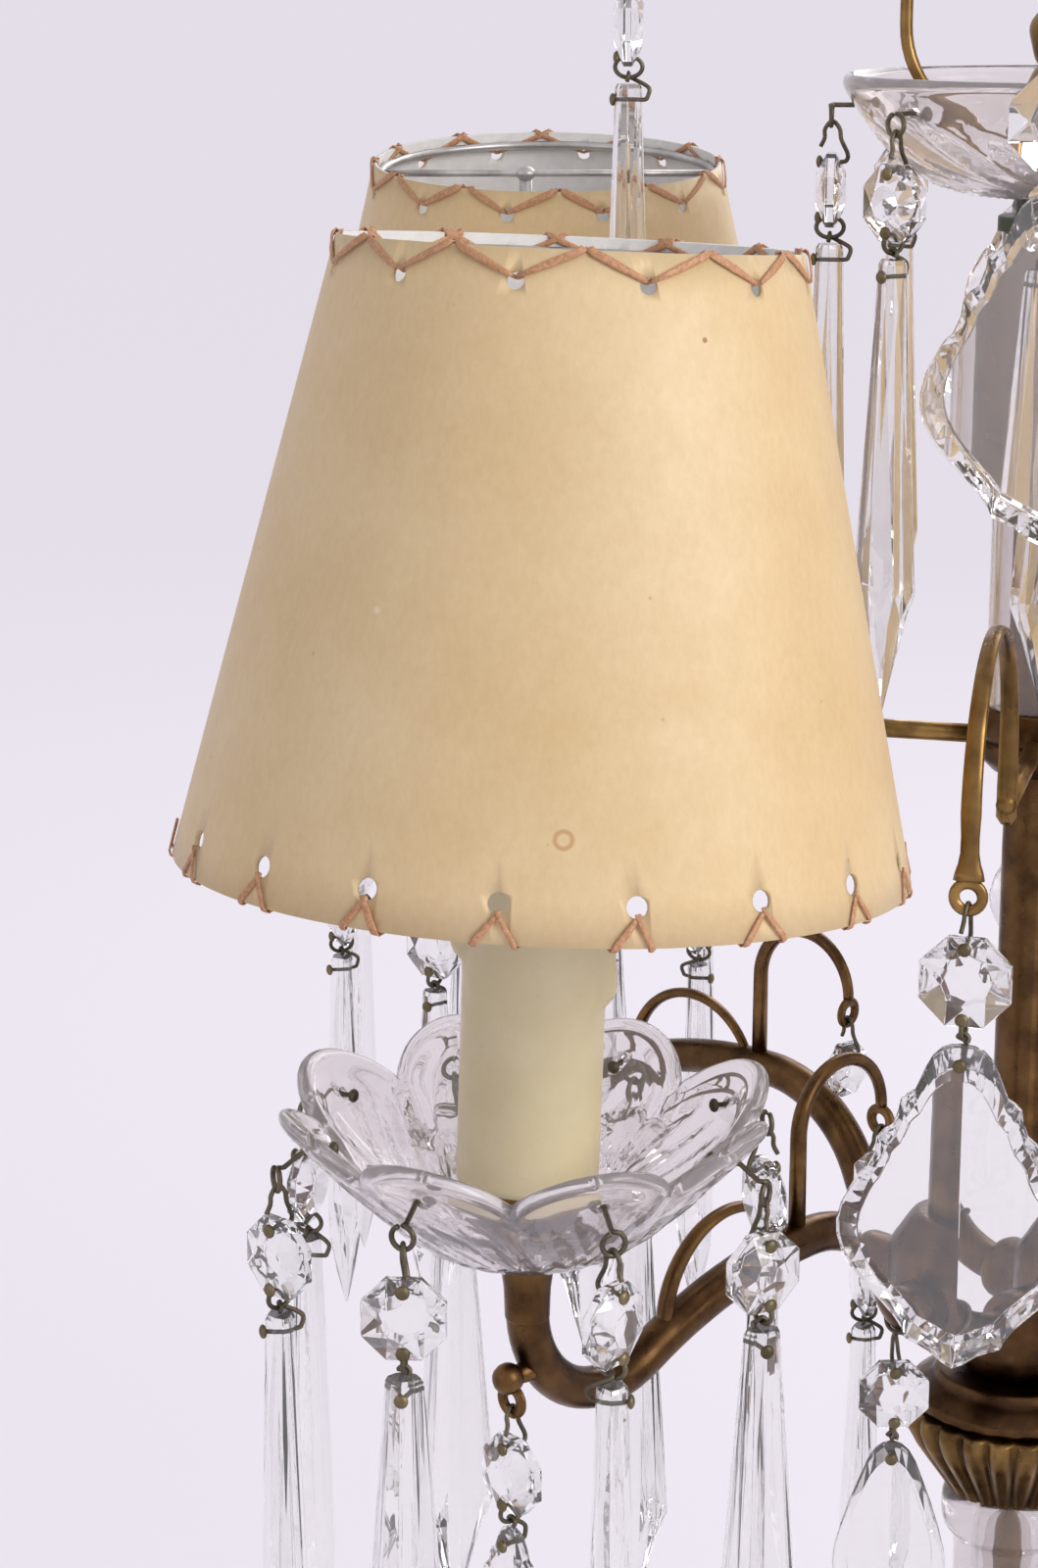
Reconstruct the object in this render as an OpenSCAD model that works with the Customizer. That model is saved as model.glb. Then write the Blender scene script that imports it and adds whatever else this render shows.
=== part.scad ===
// Electrified table girandole with four shaded branches and cut glass drops.
// Origin at the middle of the foot, on the table. Branch 1 points to the front left.

/* [Column] */
// Diameter of the foot
foot_d = 150; // [120:1:180]
// Height of the foot above its felt ring
foot_h = 28; // [22:1:36]
// Thickness of the felt ring
felt_h = 2; // [1:0.5:4]
// Height of the glass stem between foot and fluted cup
stem_h = 126; // [110:1:140]
// Diameter of the glass stem's body
stem_d = 24; // [22:1:28]
// Diameter of the rod that clamps the column together
rod_d = 6; // [5:0.5:7]
// Height of the fluted cup
flare_h = 20; // [16:1:24]
// Diameter of the fluted cup's rim
flare_d = 50; // [46:1:54]
// Height of the turned ring above the fluted cup
ring_h = 8; // [6:1:12]
// Height of the hub that holds the branches
hub_h = 36; // [30:1:44]
// Diameter of the hub's body
hub_d = 30; // [27:1:36]
// Diameter of the brass column tube
column_d = 14; // [12:1:16]
// Height of the column tube between hub and dish washer
column_h = 211; // [205:1:230]
// Height of the hook collar
collar_h = 14; // [12:1:18]
// Middle of the hook collar above the hub
collar_rise = 106; // [100:1:112]
// Outer diameter of the glass sleeve on the column
sleeve_d = 23; // [21:1:26]

/* [Branches] */
// Distance of the candles from the column
branch_r = 152; // [148:1:160]
// Diameter of the branch tube
tube_d = 8; // [7:0.5:9]
// Rise of the branch's hump above the middle of the hub
hump_rise = 33; // [30:1:36]
// Distance of the hump from the column
hump_r = 72; // [68:1:76]
// Depth of the branch's trough below its hump
trough_drop = 13; // [10:1:15]
// Radius of the bend below the candle
bend_r = 22; // [20:1:24]
// Thickness of the scroll wires
scroll_d = 3; // [2.5:0.25:3.5]

/* [Candles] */
// Diameter of the candle sleeve
candle_d = 26; // [25:0.5:27]
// Length of the candle sleeve
candle_h = 85; // [80:1:90]
// Wall of the candle sleeve
candle_wall = 1.5; // [1:0.25:2]
// Diameter of the round bulb
bulb_d = 40; // [36:1:42]
// Height of the candle cup that holds the sleeve
cup_h = 16; // [14:1:18]

/* [Bobeches] */
// Diameter over the petal tips
bobeche_d = 91; // [88:1:92]
// Height of a bobeche to the petal tips
bobeche_h = 31; // [28:1:34]
// Upright thickness of the glass
bobeche_wall = 3; // [2.5:0.25:3.5]
// Number of petals, each with a drop
petals = 8; // [7:1:9]
// Turn of the first petal from the branch's direction
petal_turn = 18; // [14:1:20]

/* [Upper dish] */
// Diameter of the upper dish
dish_d = 88; // [86:1:92]
// Height of the upper dish
dish_h = 24; // [22:1:28]
// Number of drops on the dish
dish_drops_n = 8; // [6:1:10]
// Distance of the crown wires' eyes from the column
crown_r = 88; // [84:1:92]
// Height of the crown wires above the dish's floor
crown_rise = 92; // [86:1:98]
// Height of the finial
finial_h = 80; // [60:1:100]

/* [Hooks] */
// Distance of the hooks' eyes from the column
hook_r = 112; // [108:1:114]
// Distance at which a hook's bar ends and its strip starts
hook_bar_r = 57; // [54:1:60]
// Turn of the first hook from the front to the left
hook_turn = 15; // [12:1:18]
// Height of a hook's straight legs below its arch
hook_leg = 12; // [8:1:16]
// Turn of the first crown wire from the front to the left
crown_turn = 10; // [8:1:12]

/* [Shades] */
// Diameter of a shade's bottom rim
shade_bottom_d = 130; // [126:1:132]
// Diameter of a shade's top rim
shade_top_d = 80; // [72:1:90]
// Height of a shade
shade_h = 108; // [100:1:112]
// Height of a shade's bottom rim above the bobeche's floor
shade_lift = 77; // [72:1:82]
// Thickness of the parchment
paper = 0.8; // [0.6:0.1:1.2]
// Lean of the first shade away from the front, as it was photographed
lean_1 = 3.5; // [0:0.5:5]
// Lean of the first shade to the right
roll_1 = 2.5; // [0:0.5:5]
// Lean of the second shade to the front
lean_2 = 6; // [0:0.5:7]
// Slide of the two left shades along their straps to the right
shade_slide = 5; // [0:0.5:6]

/* [Drops] */
// Width of an octagon bead
bead_d = 16; // [14:0.5:17]
// Width of the larger octagon beads under hooks and crown wires
large_bead_d = 18; // [16:0.5:19]
// Thickness of a bead
bead_t = 6; // [5.5:0.5:6.5]
// Length of a prism
prism_l = 90; // [80:1:95]
// Length of a crown prism
crown_prism_l = 78; // [70:1:80]
// Widest part of a prism
prism_w = 16.5; // [14:0.5:17]
// Height of a pendalogue
pendalogue_h = 63; // [56:1:66]
// Width of a pendalogue
pendalogue_w = 45; // [38:1:46]
// Height of a drop under a stud
stud_drop_h = 34; // [30:1:38]
// Width of a drop under a stud
stud_drop_w = 22; // [18:1:24]
// Thickness of the wires that hang the drops
wire_d = 0.9; // [0.7:0.1:1]
// Radius of a wire ring between two pieces of a drop
link_r = 4.2; // [4:0.1:5]

/* [Hidden] */
$fn = 64;
arms = 4;
crown_n = 4;
hooks_n = 4;
arm_angle = [225, 135, 45, 315];
clear = 0.3;
slip = 0.05;
fuse = 0.5;

// Eyes and wires of the drops
eye_r = 2.1;
eye_wire = 1;
eye_sag = 0.8;
hole_r = wire_d / 2 + 0.55;
bead_edge = 2.4;
scroll_bead_d = 13;
pendant_head = 3.2;
plate_r = 3.6;
plate_t = 1.2;

// Right half of a pendalogue's outline: share of the half width, and share of the height from the top
baroque_middle = 0.55;
baroque = [
    [0.17, 0.015],
    [0.28, 0.065],
    [0.37, 0.15],
    [0.49, 0.18],
    [0.55, 0.26],
    [0.67, 0.3],
    [0.74, 0.4],
    [0.84, 0.435],
    [0.96, 0.52],
    [1, 0.6],
    [0.89, 0.7],
    [0.62, 0.81],
    [0.42, 0.895],
    [0.4, 0.925],
    [0.2, 0.955]
];

// Places along a drop, from the middle of its eye
function bead_hole(d) = d / 2 - bead_edge;
function bead_z(d) = -eye_sag - 2 * link_r - bead_hole(d);
function pendant_z(d) = bead_z(d) - bead_hole(d) - 2 * link_r;

// Heights of the column, from the table up
foot_top = felt_h + foot_h;
stem_top = foot_top + stem_h;
flare_top = stem_top + flare_h;
ring_top = flare_top + ring_h;
hub_z = ring_top + hub_h / 2;
hub_top = ring_top + hub_h;
collar_z = hub_z + collar_rise + hub_h / 2;
collar_top = collar_z + collar_h / 2;
washer_h = 7;
washer_lip = 3;
washer_z = hub_top + column_h;
dish_z = washer_z + washer_h;
dish_floor = 3.5;
rod_bore = rod_d / 2 + 0.2;

// Foot and nut
nut_h = 6;
nut_d = 16;
recess_d = 90;
recess_h = 10;
foot_collar_d = 40;

// Hub sockets
socket_d = tube_d + 6;
socket_r = hub_d / 2 + 9;
socket_floor = hub_d / 2 - 4;
socket_start = hub_d / 2 - 5;

// Branch path, in the plane of the branch
trough_z = hub_z + hump_rise - trough_drop;
hump_z = hub_z + hump_rise;
trough_r = branch_r - bend_r;
rise_turn = 2 * atan(hump_rise / (hump_r - socket_r));
rise_sum = (hump_r - socket_r) / sin(rise_turn);
rise_low_r = 0.43 * rise_sum;
rise_high_r = rise_sum - rise_low_r;
fall_turn = 2 * atan(trough_drop / (trough_r - hump_r));
fall_sum = (trough_r - hump_r) / sin(fall_turn);
fall_r = fall_sum - bend_r;
seat_z = trough_z + bend_r + 4;
nipple_d = tube_d - 1.6;
drip_cup_h = 3;
drip_cup_d = 28;

// Stops along the middle of the branch tube: distance, height and slope
tube_sides = 12;
bend_steps = 6;
function bend(x, z, r, from, to, tilt) = [
    for (k = [1:bend_steps])
        let (a = from + (to - from) * k / bend_steps)
            [x + r * cos(a), z + r * sin(a), a + tilt]
];
branch_path = concat(
    [[socket_floor + 1, hub_z, 0], [socket_r, hub_z, 0]],
    bend(socket_r, hub_z + rise_low_r, rise_low_r, -90, rise_turn - 90, 90),
    bend(hump_r, hump_z - rise_high_r, rise_high_r, 90 + rise_turn, 90, -90),
    bend(hump_r, hump_z - fall_r, fall_r, 90, 90 - fall_turn, -90),
    bend(trough_r, trough_z + bend_r, bend_r, -90 - fall_turn, 0, 90),
    [[branch_r, seat_z, 90]]
);
function tube_ring(stop) = [
    for (k = [0:tube_sides - 1])
        let (a = k * 360 / tube_sides, across = tube_d / 2 * cos(a))
            [stop[0] - across * sin(stop[2]), tube_d / 2 * sin(a), stop[1] + across * cos(stop[2])]
];

// Candle stack
bowl_z = seat_z + drip_cup_h;
bowl_floor = bowl_z + bobeche_wall;
cup_d = candle_d - 1;
cup_seat = 3;
candle_z = bowl_floor + cup_h;
candle_top = candle_z + candle_h;
holder_z = candle_z + 14;
holder_d = candle_d - 2 * candle_wall - 1.4;
holder_top = candle_top - 2;
cap_d = 14;
cap_h = 24;
bulb_neck_d = 19;
bulb_z = candle_top + bulb_d / 2 + 12;

// Wax drips: turn round the sleeve, length, width
drips = [[20, 22, 5], [62, 34, 6], [118, 16, 5], [170, 28, 6], [215, 38, 5], [262, 18, 6], [318, 30, 6]];

// Shade and its wire frame
shade_z = bowl_z + shade_lift;
shade_top = shade_z + shade_h;
shade_slope = (shade_bottom_d - shade_top_d) / 2 / shade_h;
frame_wire = 2;
clip_wire = 1.8;
clip_r = bulb_d / 2 + clear + clip_wire / 2;
clip_reach = 100;
lean_x = [-lean_1, lean_2, 0, 0];
lean_y = [roll_1, 0, 0, 0];
slide = [shade_slide, shade_slide, 0, 0];

// Bowl of a bobeche: the wall rises along a power curve
bowl_base_r = 16;
bowl_rim_r = bobeche_d / 2 + 0.5;
bowl_power = 1.5;
petal_r = bobeche_d / 2 * 0.34;
petal_hole_r = bobeche_d / 2 - 4;
function bowl_wall(r) = bobeche_h * pow((r - bowl_base_r) / (bowl_rim_r - bowl_base_r), bowl_power);
pin_z = bowl_z + bowl_wall(petal_hole_r) + bobeche_wall / 2;
pin_eye_x = petal_hole_r + 5.2;

// Dish wall, with its own curve
dish_base_r = 13;
dish_power = 2.6;
dish_wall = 3;
function dish_curve(r) = (dish_h - dish_wall) * pow((r - dish_base_r) / (dish_d / 2 - dish_base_r), dish_power);
dish_hole_r = dish_d / 2 - 3;
dish_pin_z = dish_z + dish_curve(dish_hole_r) + dish_wall / 2;
dish_eye_x = dish_hole_r + 5.2;

// Crown wires
crown_d = 2.6;
boss_d = 20;
boss_z = dish_z + dish_floor;
boss_h = 22;
crown_start_z = boss_z + 10;
crown_in_r = 32;
wire_start = rod_bore + 1;
crown_out = (crown_r - crown_in_r) / 2;
crown_turn_r = crown_in_r - boss_d / 2 - 2;
crown_top = dish_z + crown_rise;
long_leg = 29;
short_leg = 15;
function crown_eye_z(n) = crown_top - crown_out - (n % 2 == 1 ? long_leg : short_leg);

// Hooks
bar_d = 4;
strip_w = 4.5;
strip_t = 1.6;
arch_r = (hook_r - hook_bar_r) / 2;
arch_r_in = arch_r - strip_t / 2;
hook_eye_z = collar_z - plate_r + fuse;

// Stud on the outside of a branch's bend
stud_drop_a = 35;
stud_l = 5;
stud_x = trough_r + bend_r * cos(stud_drop_a);
stud_z = trough_z + bend_r - bend_r * sin(stud_drop_a);
stud_knob_x = stud_x + tube_d / 2 + stud_l;
stud_eye_x = stud_knob_x - 1;
stud_eye_z = stud_z - plate_r - 1;

// Scroll loop on a branch's back
loop_r = 13;
loop_x = hump_r - 9.5;
loop_z = hump_z + 22;
arch_x = hump_r + 24;
arch_z = hump_z - 6;
scroll_arch_r = 18.5;
loop_eye_x = loop_x - loop_r;
loop_eye_z = loop_z - plate_r + fuse;

// Places

module on_branch(n) {
    rotate([0, 0, arm_angle[n - 1]])
        children();
}

module at_candle(n) {
    on_branch(n)
        translate([branch_r, 0, 0])
            children();
}

module on_petal(k) {
    rotate([0, 0, petal_turn + k * 360 / petals])
        children();
}

module on_hook(n) {
    rotate([0, 0, 270 - hook_turn - (n - 1) * 360 / hooks_n])
        children();
}

module on_crown(n) {
    rotate([0, 0, 270 - crown_turn - (n - 1) * 360 / crown_n])
        children();
}

module on_dish(k) {
    rotate([0, 0, 270 - hook_turn / 2 - k * 360 / dish_drops_n])
        children();
}

// Shared forms

// A round bar bent along an arc in the plane of X and Z
module arc_bar(x, z, r, from, to, d) {
    translate([x, 0, z])
        rotate([90, 0, 0])
            rotate([0, 0, from])
                rotate_extrude(angle = to - from)
                    translate([r, 0])
                        circle(d = d);
}

module bore(d, from, to) {
    translate([0, 0, from])
        cylinder(d = d, h = to - from);
}

module hole_x(r, x, z, l) {
    translate([x, 0, z])
        rotate([0, 90, 0])
            cylinder(r = r, h = l, center = true);
}

// A solid through rings of points, closed at both ends
module loft(rings, flat = false) {
    sides = len(rings[0]);
    last = (len(rings) - 1) * sides;
    points = [for (ring = rings) each ring];
    walls = [
        for (k = [0:len(rings) - 2], i = [0:sides - 1])
            let (a = k * sides + i, b = k * sides + (i + 1) % sides)
                each flat ? [[a, b, b + sides, a + sides]] : [[a, b, b + sides], [a, b + sides, a + sides]]
    ];
    start = [[for (i = [sides - 1:-1:0]) i]];
    end = [[for (i = [0:sides - 1]) last + i]];
    polyhedron(points, concat(walls, start, end));
}

// Ring of wire in the plane of X and Z
module wire_ring(x, z) {
    translate([x, 0, z])
        rotate([90, 0, 0])
            rotate_extrude()
                translate([link_r, 0])
                    circle(d = wire_d);
}

// Eye whose hole points along X
module eye(x, z) {
    translate([x, 0, z])
        rotate([0, 90, 0])
            rotate_extrude()
                translate([eye_r, 0])
                    circle(d = eye_wire);
}

module eye_plate(x, z) {
    difference() {
        translate([x, 0, z])
            rotate([0, 90, 0])
                cylinder(r = plate_r, h = plate_t, center = true);
        hole_x(eye_r - eye_wire / 2, x, z, 4 * plate_t);
    }
}

// Octagon bead, flat to X, with a hole near its top and bottom
module bead(d) {
    table = 0.45;
    girdle = 1;
    function ring(x, s) = [for (i = [0:7]) [x, s * d / 2 * sin(22.5 + i * 45), s * d / 2 * cos(22.5 + i * 45)]];
    difference() {
        loft([ring(-bead_t / 2, table), ring(-girdle, 1), ring(girdle, 1), ring(bead_t / 2, table)], true);
        for (side = [-1, 1])
            hole_x(hole_r, 0, side * bead_hole(d), 2 * bead_t);
    }
}

// Spear prism that hangs from the middle of its hole
module prism(l) {
    top_w = 6.5;
    top_t = 3.4;
    belly = 0.72;
    waist = 0.8;
    tip = 0.6;
    function ring(z, w, t) = [
        for (p = [[2, 0], [1, 2], [-1, 2], [-2, 0], [-1, -2], [1, -2]]) [p[1] * t / 4, p[0] * w / 4, z]
    ];
    difference() {
        translate([0, 0, pendant_head])
            loft([
                ring(-l, tip, tip),
                ring(-waist * l, prism_w * 0.62, prism_w * 0.5),
                ring(-belly * l, prism_w, prism_w * 0.55),
                ring(-1.5, top_w, top_t),
                ring(0, top_w - 1.6, top_t - 1.6)
            ]);
        hole_x(hole_r, 0, 0, 2 * prism_w);
    }
}

// Flat pendant with a baroque outline and bevelled faces
module pendalogue(h, w) {
    table = 0.6;
    edge = 1;
    thick = w * 0.19;
    left = [for (k = [len(baroque) - 1:-1:0]) [-baroque[k][0], baroque[k][1]]];
    outline = concat([[0, 0]], baroque, [[0, 1]], left);
    function ring(x, s) = [
        for (p = outline) [x, s * p[0] * w / 2, s * (baroque_middle - p[1]) * h]
    ];
    difference() {
        translate([0, 0, pendant_head - baroque_middle * h])
            loft([ring(-thick / 2, table), ring(-edge, 1), ring(edge, 1), ring(thick / 2, table)], true);
        hole_x(hole_r, 0, 0, 2 * thick);
    }
}

// Bead and pendant that hang from an eye at x, z
module drop_glass(x, z, d) {
    translate([x, 0, z + bead_z(d)])
        bead(d);
    translate([x, 0, z + pendant_z(d)])
        children();
}

module drop_rings(x, z, d) {
    wire_ring(x, z - eye_sag - link_r);
    wire_ring(x, z + pendant_z(d) + link_r);
}

// Pin through a glass wall, with a head inside and an eye outside
module wall_pin(hole_x0, eye_x, z) {
    head_in = 4;
    translate([hole_x0 - head_in, 0, z])
        rotate([0, 90, 0])
            cylinder(d = eye_wire, h = eye_x - hole_x0 + head_in);
    translate([hole_x0 - head_in, 0, z])
        sphere(d = 2.4);
    eye(eye_x, z - eye_r);
}

// Column pieces

module felt_ring() {
    color("darkgreen")
        difference() {
            bore(foot_d - 8, 0, felt_h);
            bore(recess_d + 4, -1, felt_h + 1);
        }
}

module foot() {
    step = foot_h / 7;
    color("saddlebrown")
        difference() {
            rotate_extrude()
                polygon([
                    [0, felt_h],
                    [foot_d / 2 - 2, felt_h],
                    [foot_d / 2, felt_h + step],
                    [foot_d / 2, felt_h + 1.6 * step],
                    [foot_d / 2 - 6, felt_h + 2.2 * step],
                    [foot_d / 2 - 8, felt_h + 3 * step],
                    [foot_d / 2 - 22, felt_h + 4 * step],
                    [foot_collar_d / 2 + 6, felt_h + 5 * step],
                    [foot_collar_d / 2, felt_h + 6 * step],
                    [foot_collar_d / 2, foot_top],
                    [0, foot_top]
                ]);
            bore(2 * rod_bore, 0, foot_top + 1);
            bore(recess_d, felt_h - 1, felt_h + recess_h);
        }
}

module foot_nut() {
    color("darkgoldenrod")
        difference() {
            translate([0, 0, felt_h + recess_h - nut_h])
                cylinder(d = nut_d, h = nut_h, $fn = 6);
            bore(rod_d + 2 * slip, felt_h, felt_h + recess_h + 1);
        }
}

module centre_rod() {
    color("peru")
        bore(rod_d, felt_h + 2, boss_z + boss_h + 8);
}

module glass_stem() {
    r = stem_d / 2;
    knop = stem_h * 0.36;
    color("lightcyan")
        difference() {
            rotate_extrude()
                polygon([
                    [0, foot_top],
                    [r + 5, foot_top],
                    [r + 5, foot_top + 5],
                    [r - 2, foot_top + 12],
                    [r - 3, foot_top + 0.6 * knop],
                    [r + 4, foot_top + 0.85 * knop],
                    [r + 6, foot_top + knop],
                    [r + 4, foot_top + 1.15 * knop],
                    [r - 3, foot_top + 1.4 * knop],
                    [r, foot_top + 0.72 * stem_h],
                    [r, stem_top - 12],
                    [r + 3, stem_top - 9],
                    [r + 3, stem_top],
                    [0, stem_top]
                ]);
            bore(2 * rod_bore + 4, foot_top - 1, stem_top + 1);
        }
}

module fluted_cup() {
    flutes = 16;
    flute_d = PI * flare_d / flutes * 0.8;
    flute_lean = 27;
    low_r = stem_d / 2 + 2.5;
    rim_r = flare_d / 2;
    swell = (rim_r - low_r) / 10;
    color("peru")
        difference() {
            rotate_extrude()
                polygon([
                    [0, stem_top],
                    [low_r, stem_top],
                    [low_r + swell, stem_top + 0.15 * flare_h],
                    [low_r + 4 * swell, stem_top + 0.4 * flare_h],
                    [low_r + 8 * swell, stem_top + 0.7 * flare_h],
                    [rim_r, stem_top + 0.9 * flare_h],
                    [rim_r, flare_top],
                    [0, flare_top]
                ]);
            bore(2 * rod_bore, stem_top - 1, flare_top + 1);
            for (k = [0:flutes - 1])
                rotate([0, 0, (k + 0.5) * 360 / flutes])
                    translate([low_r + flute_d * 0.34, 0, stem_top - 1])
                        rotate([0, flute_lean, 0])
                            cylinder(d = flute_d, h = 2 * flare_h);
        }
}

module turned_ring() {
    rim_r = flare_d / 2 + 1;
    color("peru")
        difference() {
            rotate_extrude()
                polygon([
                    [0, flare_top],
                    [rim_r - 2, flare_top],
                    [rim_r, flare_top + 0.2 * ring_h],
                    [rim_r, flare_top + 0.4 * ring_h],
                    [rim_r - 4, flare_top + 0.62 * ring_h],
                    [rim_r - 8, flare_top + 0.75 * ring_h],
                    [rim_r - 9, ring_top],
                    [0, ring_top]
                ]);
            bore(2 * rod_bore, flare_top - 1, ring_top + 1);
        }
}

module hub() {
    r = hub_d / 2;
    color("saddlebrown")
        difference() {
            union() {
                rotate_extrude()
                    polygon([
                        [0, ring_top],
                        [r - 5, ring_top],
                        [r, ring_top + 0.2 * hub_h],
                        [r, ring_top + 0.78 * hub_h],
                        [r - 5, hub_top],
                        [0, hub_top]
                    ]);
                for (n = [1:arms])
                    on_branch(n)
                        translate([socket_start, 0, hub_z])
                            rotate([0, 90, 0])
                                cylinder(d = socket_d, h = socket_r - socket_start);
            }
            bore(2 * rod_bore, ring_top - 1, hub_top + 1);
            for (n = [1:arms])
                on_branch(n)
                    translate([socket_floor, 0, hub_z])
                        rotate([0, 90, 0])
                            cylinder(d = tube_d + 2 * slip, h = socket_r);
        }
}

module column_tube() {
    color("saddlebrown")
        difference() {
            bore(column_d, hub_top, washer_z);
            bore(2 * rod_bore, hub_top - 1, washer_z + 1);
        }
}

module hook_collar() {
    r = sleeve_d / 2 + 1;
    low = collar_z - collar_h / 2;
    color("saddlebrown")
        difference() {
            rotate_extrude()
                polygon([
                    [0, low],
                    [r - 3, low],
                    [r, low + 3],
                    [r, collar_top - 3],
                    [r - 1, collar_top],
                    [0, collar_top]
                ]);
            bore(column_d + 2 * slip, low - 1, collar_top + 1);
            for (n = [1:hooks_n])
                on_hook(n)
                    hole_x(bar_d / 2 + slip, r, collar_z, 2 * (r - column_d / 2 - 1));
        }
}

module mid_hooks() {
    start = column_d / 2 + 1.2;
    color("peru")
        for (n = [1:hooks_n])
            on_hook(n) {
                translate([start, 0, collar_z])
                    rotate([0, 90, 0])
                        cylinder(d = bar_d, h = hook_bar_r + strip_t - start);
                translate([hook_bar_r + arch_r, 0, collar_z + hook_leg])
                    rotate([90, 0, 0])
                        rotate_extrude(angle = 180)
                            translate([arch_r_in, -strip_w / 2])
                                square([strip_t, strip_w]);
                for (x = [hook_bar_r, hook_r])
                    translate([x - strip_t / 2, -strip_w / 2, collar_z])
                        cube([strip_t, strip_w, hook_leg]);
                eye_plate(hook_r, hook_eye_z);
            }
}

module glass_sleeve() {
    color("lightcyan")
        difference() {
            bore(sleeve_d, collar_top, washer_z);
            bore(sleeve_d - 4, collar_top - 1, washer_z + 1);
        }
}

module dish_washer() {
    color("darkolivegreen")
        difference() {
            union() {
                bore(sleeve_d + 2, washer_z, washer_z + washer_lip);
                bore(2 * dish_base_r - 8, washer_z, dish_z);
            }
            bore(2 * rod_bore, washer_z - 1, dish_z + 1);
        }
}

module upper_dish() {
    wall_r = [for (k = [0:6]) dish_base_r + (dish_d / 2 - dish_base_r) * k / 6];
    color("lightcyan")
        difference() {
            rotate_extrude()
                polygon(concat(
                    [[0, dish_z]],
                    [for (r = wall_r) [r, dish_z + dish_curve(r)]],
                    [for (k = [6:-1:0]) [wall_r[k] - (k == 6 ? 1 : 0), dish_z + dish_curve(wall_r[k]) + dish_wall]],
                    [[dish_base_r - 1, dish_z + dish_floor], [0, dish_z + dish_floor]]
                ));
            bore(2 * rod_bore, dish_z - 1, dish_z + dish_h);
            for (k = [0:dish_drops_n - 1])
                on_dish(k)
                    hole_x(hole_r, dish_hole_r, dish_pin_z, 16);
        }
}

module crown() {
    color("peru") {
        difference() {
            rotate_extrude()
                polygon([
                    [0, boss_z],
                    [boss_d / 2 - 1, boss_z],
                    [boss_d / 2, boss_z + 4],
                    [boss_d / 2, boss_z + 14],
                    [boss_d / 2 - 4, boss_z + boss_h],
                    [0, boss_z + boss_h]
                ]);
            bore(2 * rod_bore, boss_z - 1, boss_z + boss_h + 1);
            for (n = [1:crown_n])
                on_crown(n)
                    translate([wire_start - slip, 0, crown_start_z])
                        rotate([0, 90, 0])
                            cylinder(d = crown_d + 2 * slip, h = boss_d);
        }
        for (n = [1:crown_n])
            on_crown(n)
                crown_wire(crown_eye_z(n));
    }
}

module crown_wire(eye_z) {
    bend_z = crown_start_z + crown_turn_r;
    arch_z0 = crown_top - crown_out;
    translate([wire_start, 0, crown_start_z])
        rotate([0, 90, 0])
            cylinder(d = crown_d, h = crown_in_r - crown_turn_r - wire_start);
    arc_bar(crown_in_r - crown_turn_r, bend_z, crown_turn_r, -90, 0, crown_d);
    translate([crown_in_r, 0, bend_z])
        cylinder(d = crown_d, h = arch_z0 - bend_z);
    arc_bar(crown_in_r + crown_out, arch_z0, crown_out, 0, 180, crown_d);
    translate([crown_r, 0, eye_z + plate_r - fuse])
        cylinder(d = crown_d, h = arch_z0 - eye_z - plate_r + fuse);
    eye_plate(crown_r, eye_z);
}

module finial() {
    low = boss_z + boss_h;
    step = finial_h / 10;
    color("darkgoldenrod")
        difference() {
            rotate_extrude()
                polygon([
                    [0, low],
                    [boss_d / 2 - 4, low],
                    [boss_d / 2 - 2, low + step],
                    [4, low + 1.6 * step],
                    [4, low + 2.2 * step],
                    [9, low + 3.2 * step],
                    [10, low + 4 * step],
                    [8, low + 5 * step],
                    [3.5, low + 6 * step],
                    [5, low + 6.6 * step],
                    [2.5, low + 7.4 * step],
                    [0.8, low + finial_h],
                    [0, low + finial_h]
                ]);
            bore(rod_d + 2 * slip, low - 1, low + 8 + clear);
        }
}

// Branch pieces

module arm(n) {
    color("saddlebrown")
        on_branch(n) {
            loft([for (stop = branch_path) tube_ring(stop)]);
            translate([branch_r, 0, seat_z - tube_d / 2])
                cylinder(d = nipple_d, h = holder_z - seat_z + tube_d / 2);
            stud();
            scrolls();
        }
}

module stud() {
    translate([stud_x, 0, stud_z])
        rotate([0, 90, 0])
            cylinder(d = 3, h = tube_d / 2 + stud_l);
    translate([stud_knob_x, 0, stud_z])
        sphere(d = 6);
    eye_plate(stud_eye_x, stud_eye_z);
}

module scrolls() {
    arc_bar(arch_x, arch_z, scroll_arch_r, -2, 155, scroll_d);
    translate([loop_x + loop_r, 0, hump_z])
        cylinder(d = scroll_d, h = loop_z - hump_z);
    arc_bar(loop_x, loop_z, loop_r, 0, 180, scroll_d);
    eye_plate(loop_eye_x, loop_eye_z);
}

module drip_cups() {
    color("peru")
        for (n = [1:arms])
            at_candle(n)
                difference() {
                    translate([0, 0, seat_z])
                        cylinder(d1 = tube_d + 4, d2 = drip_cup_d, h = drip_cup_h);
                    bore(nipple_d + 2 * slip, seat_z - 1, bowl_z + 1);
                }
}

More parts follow.
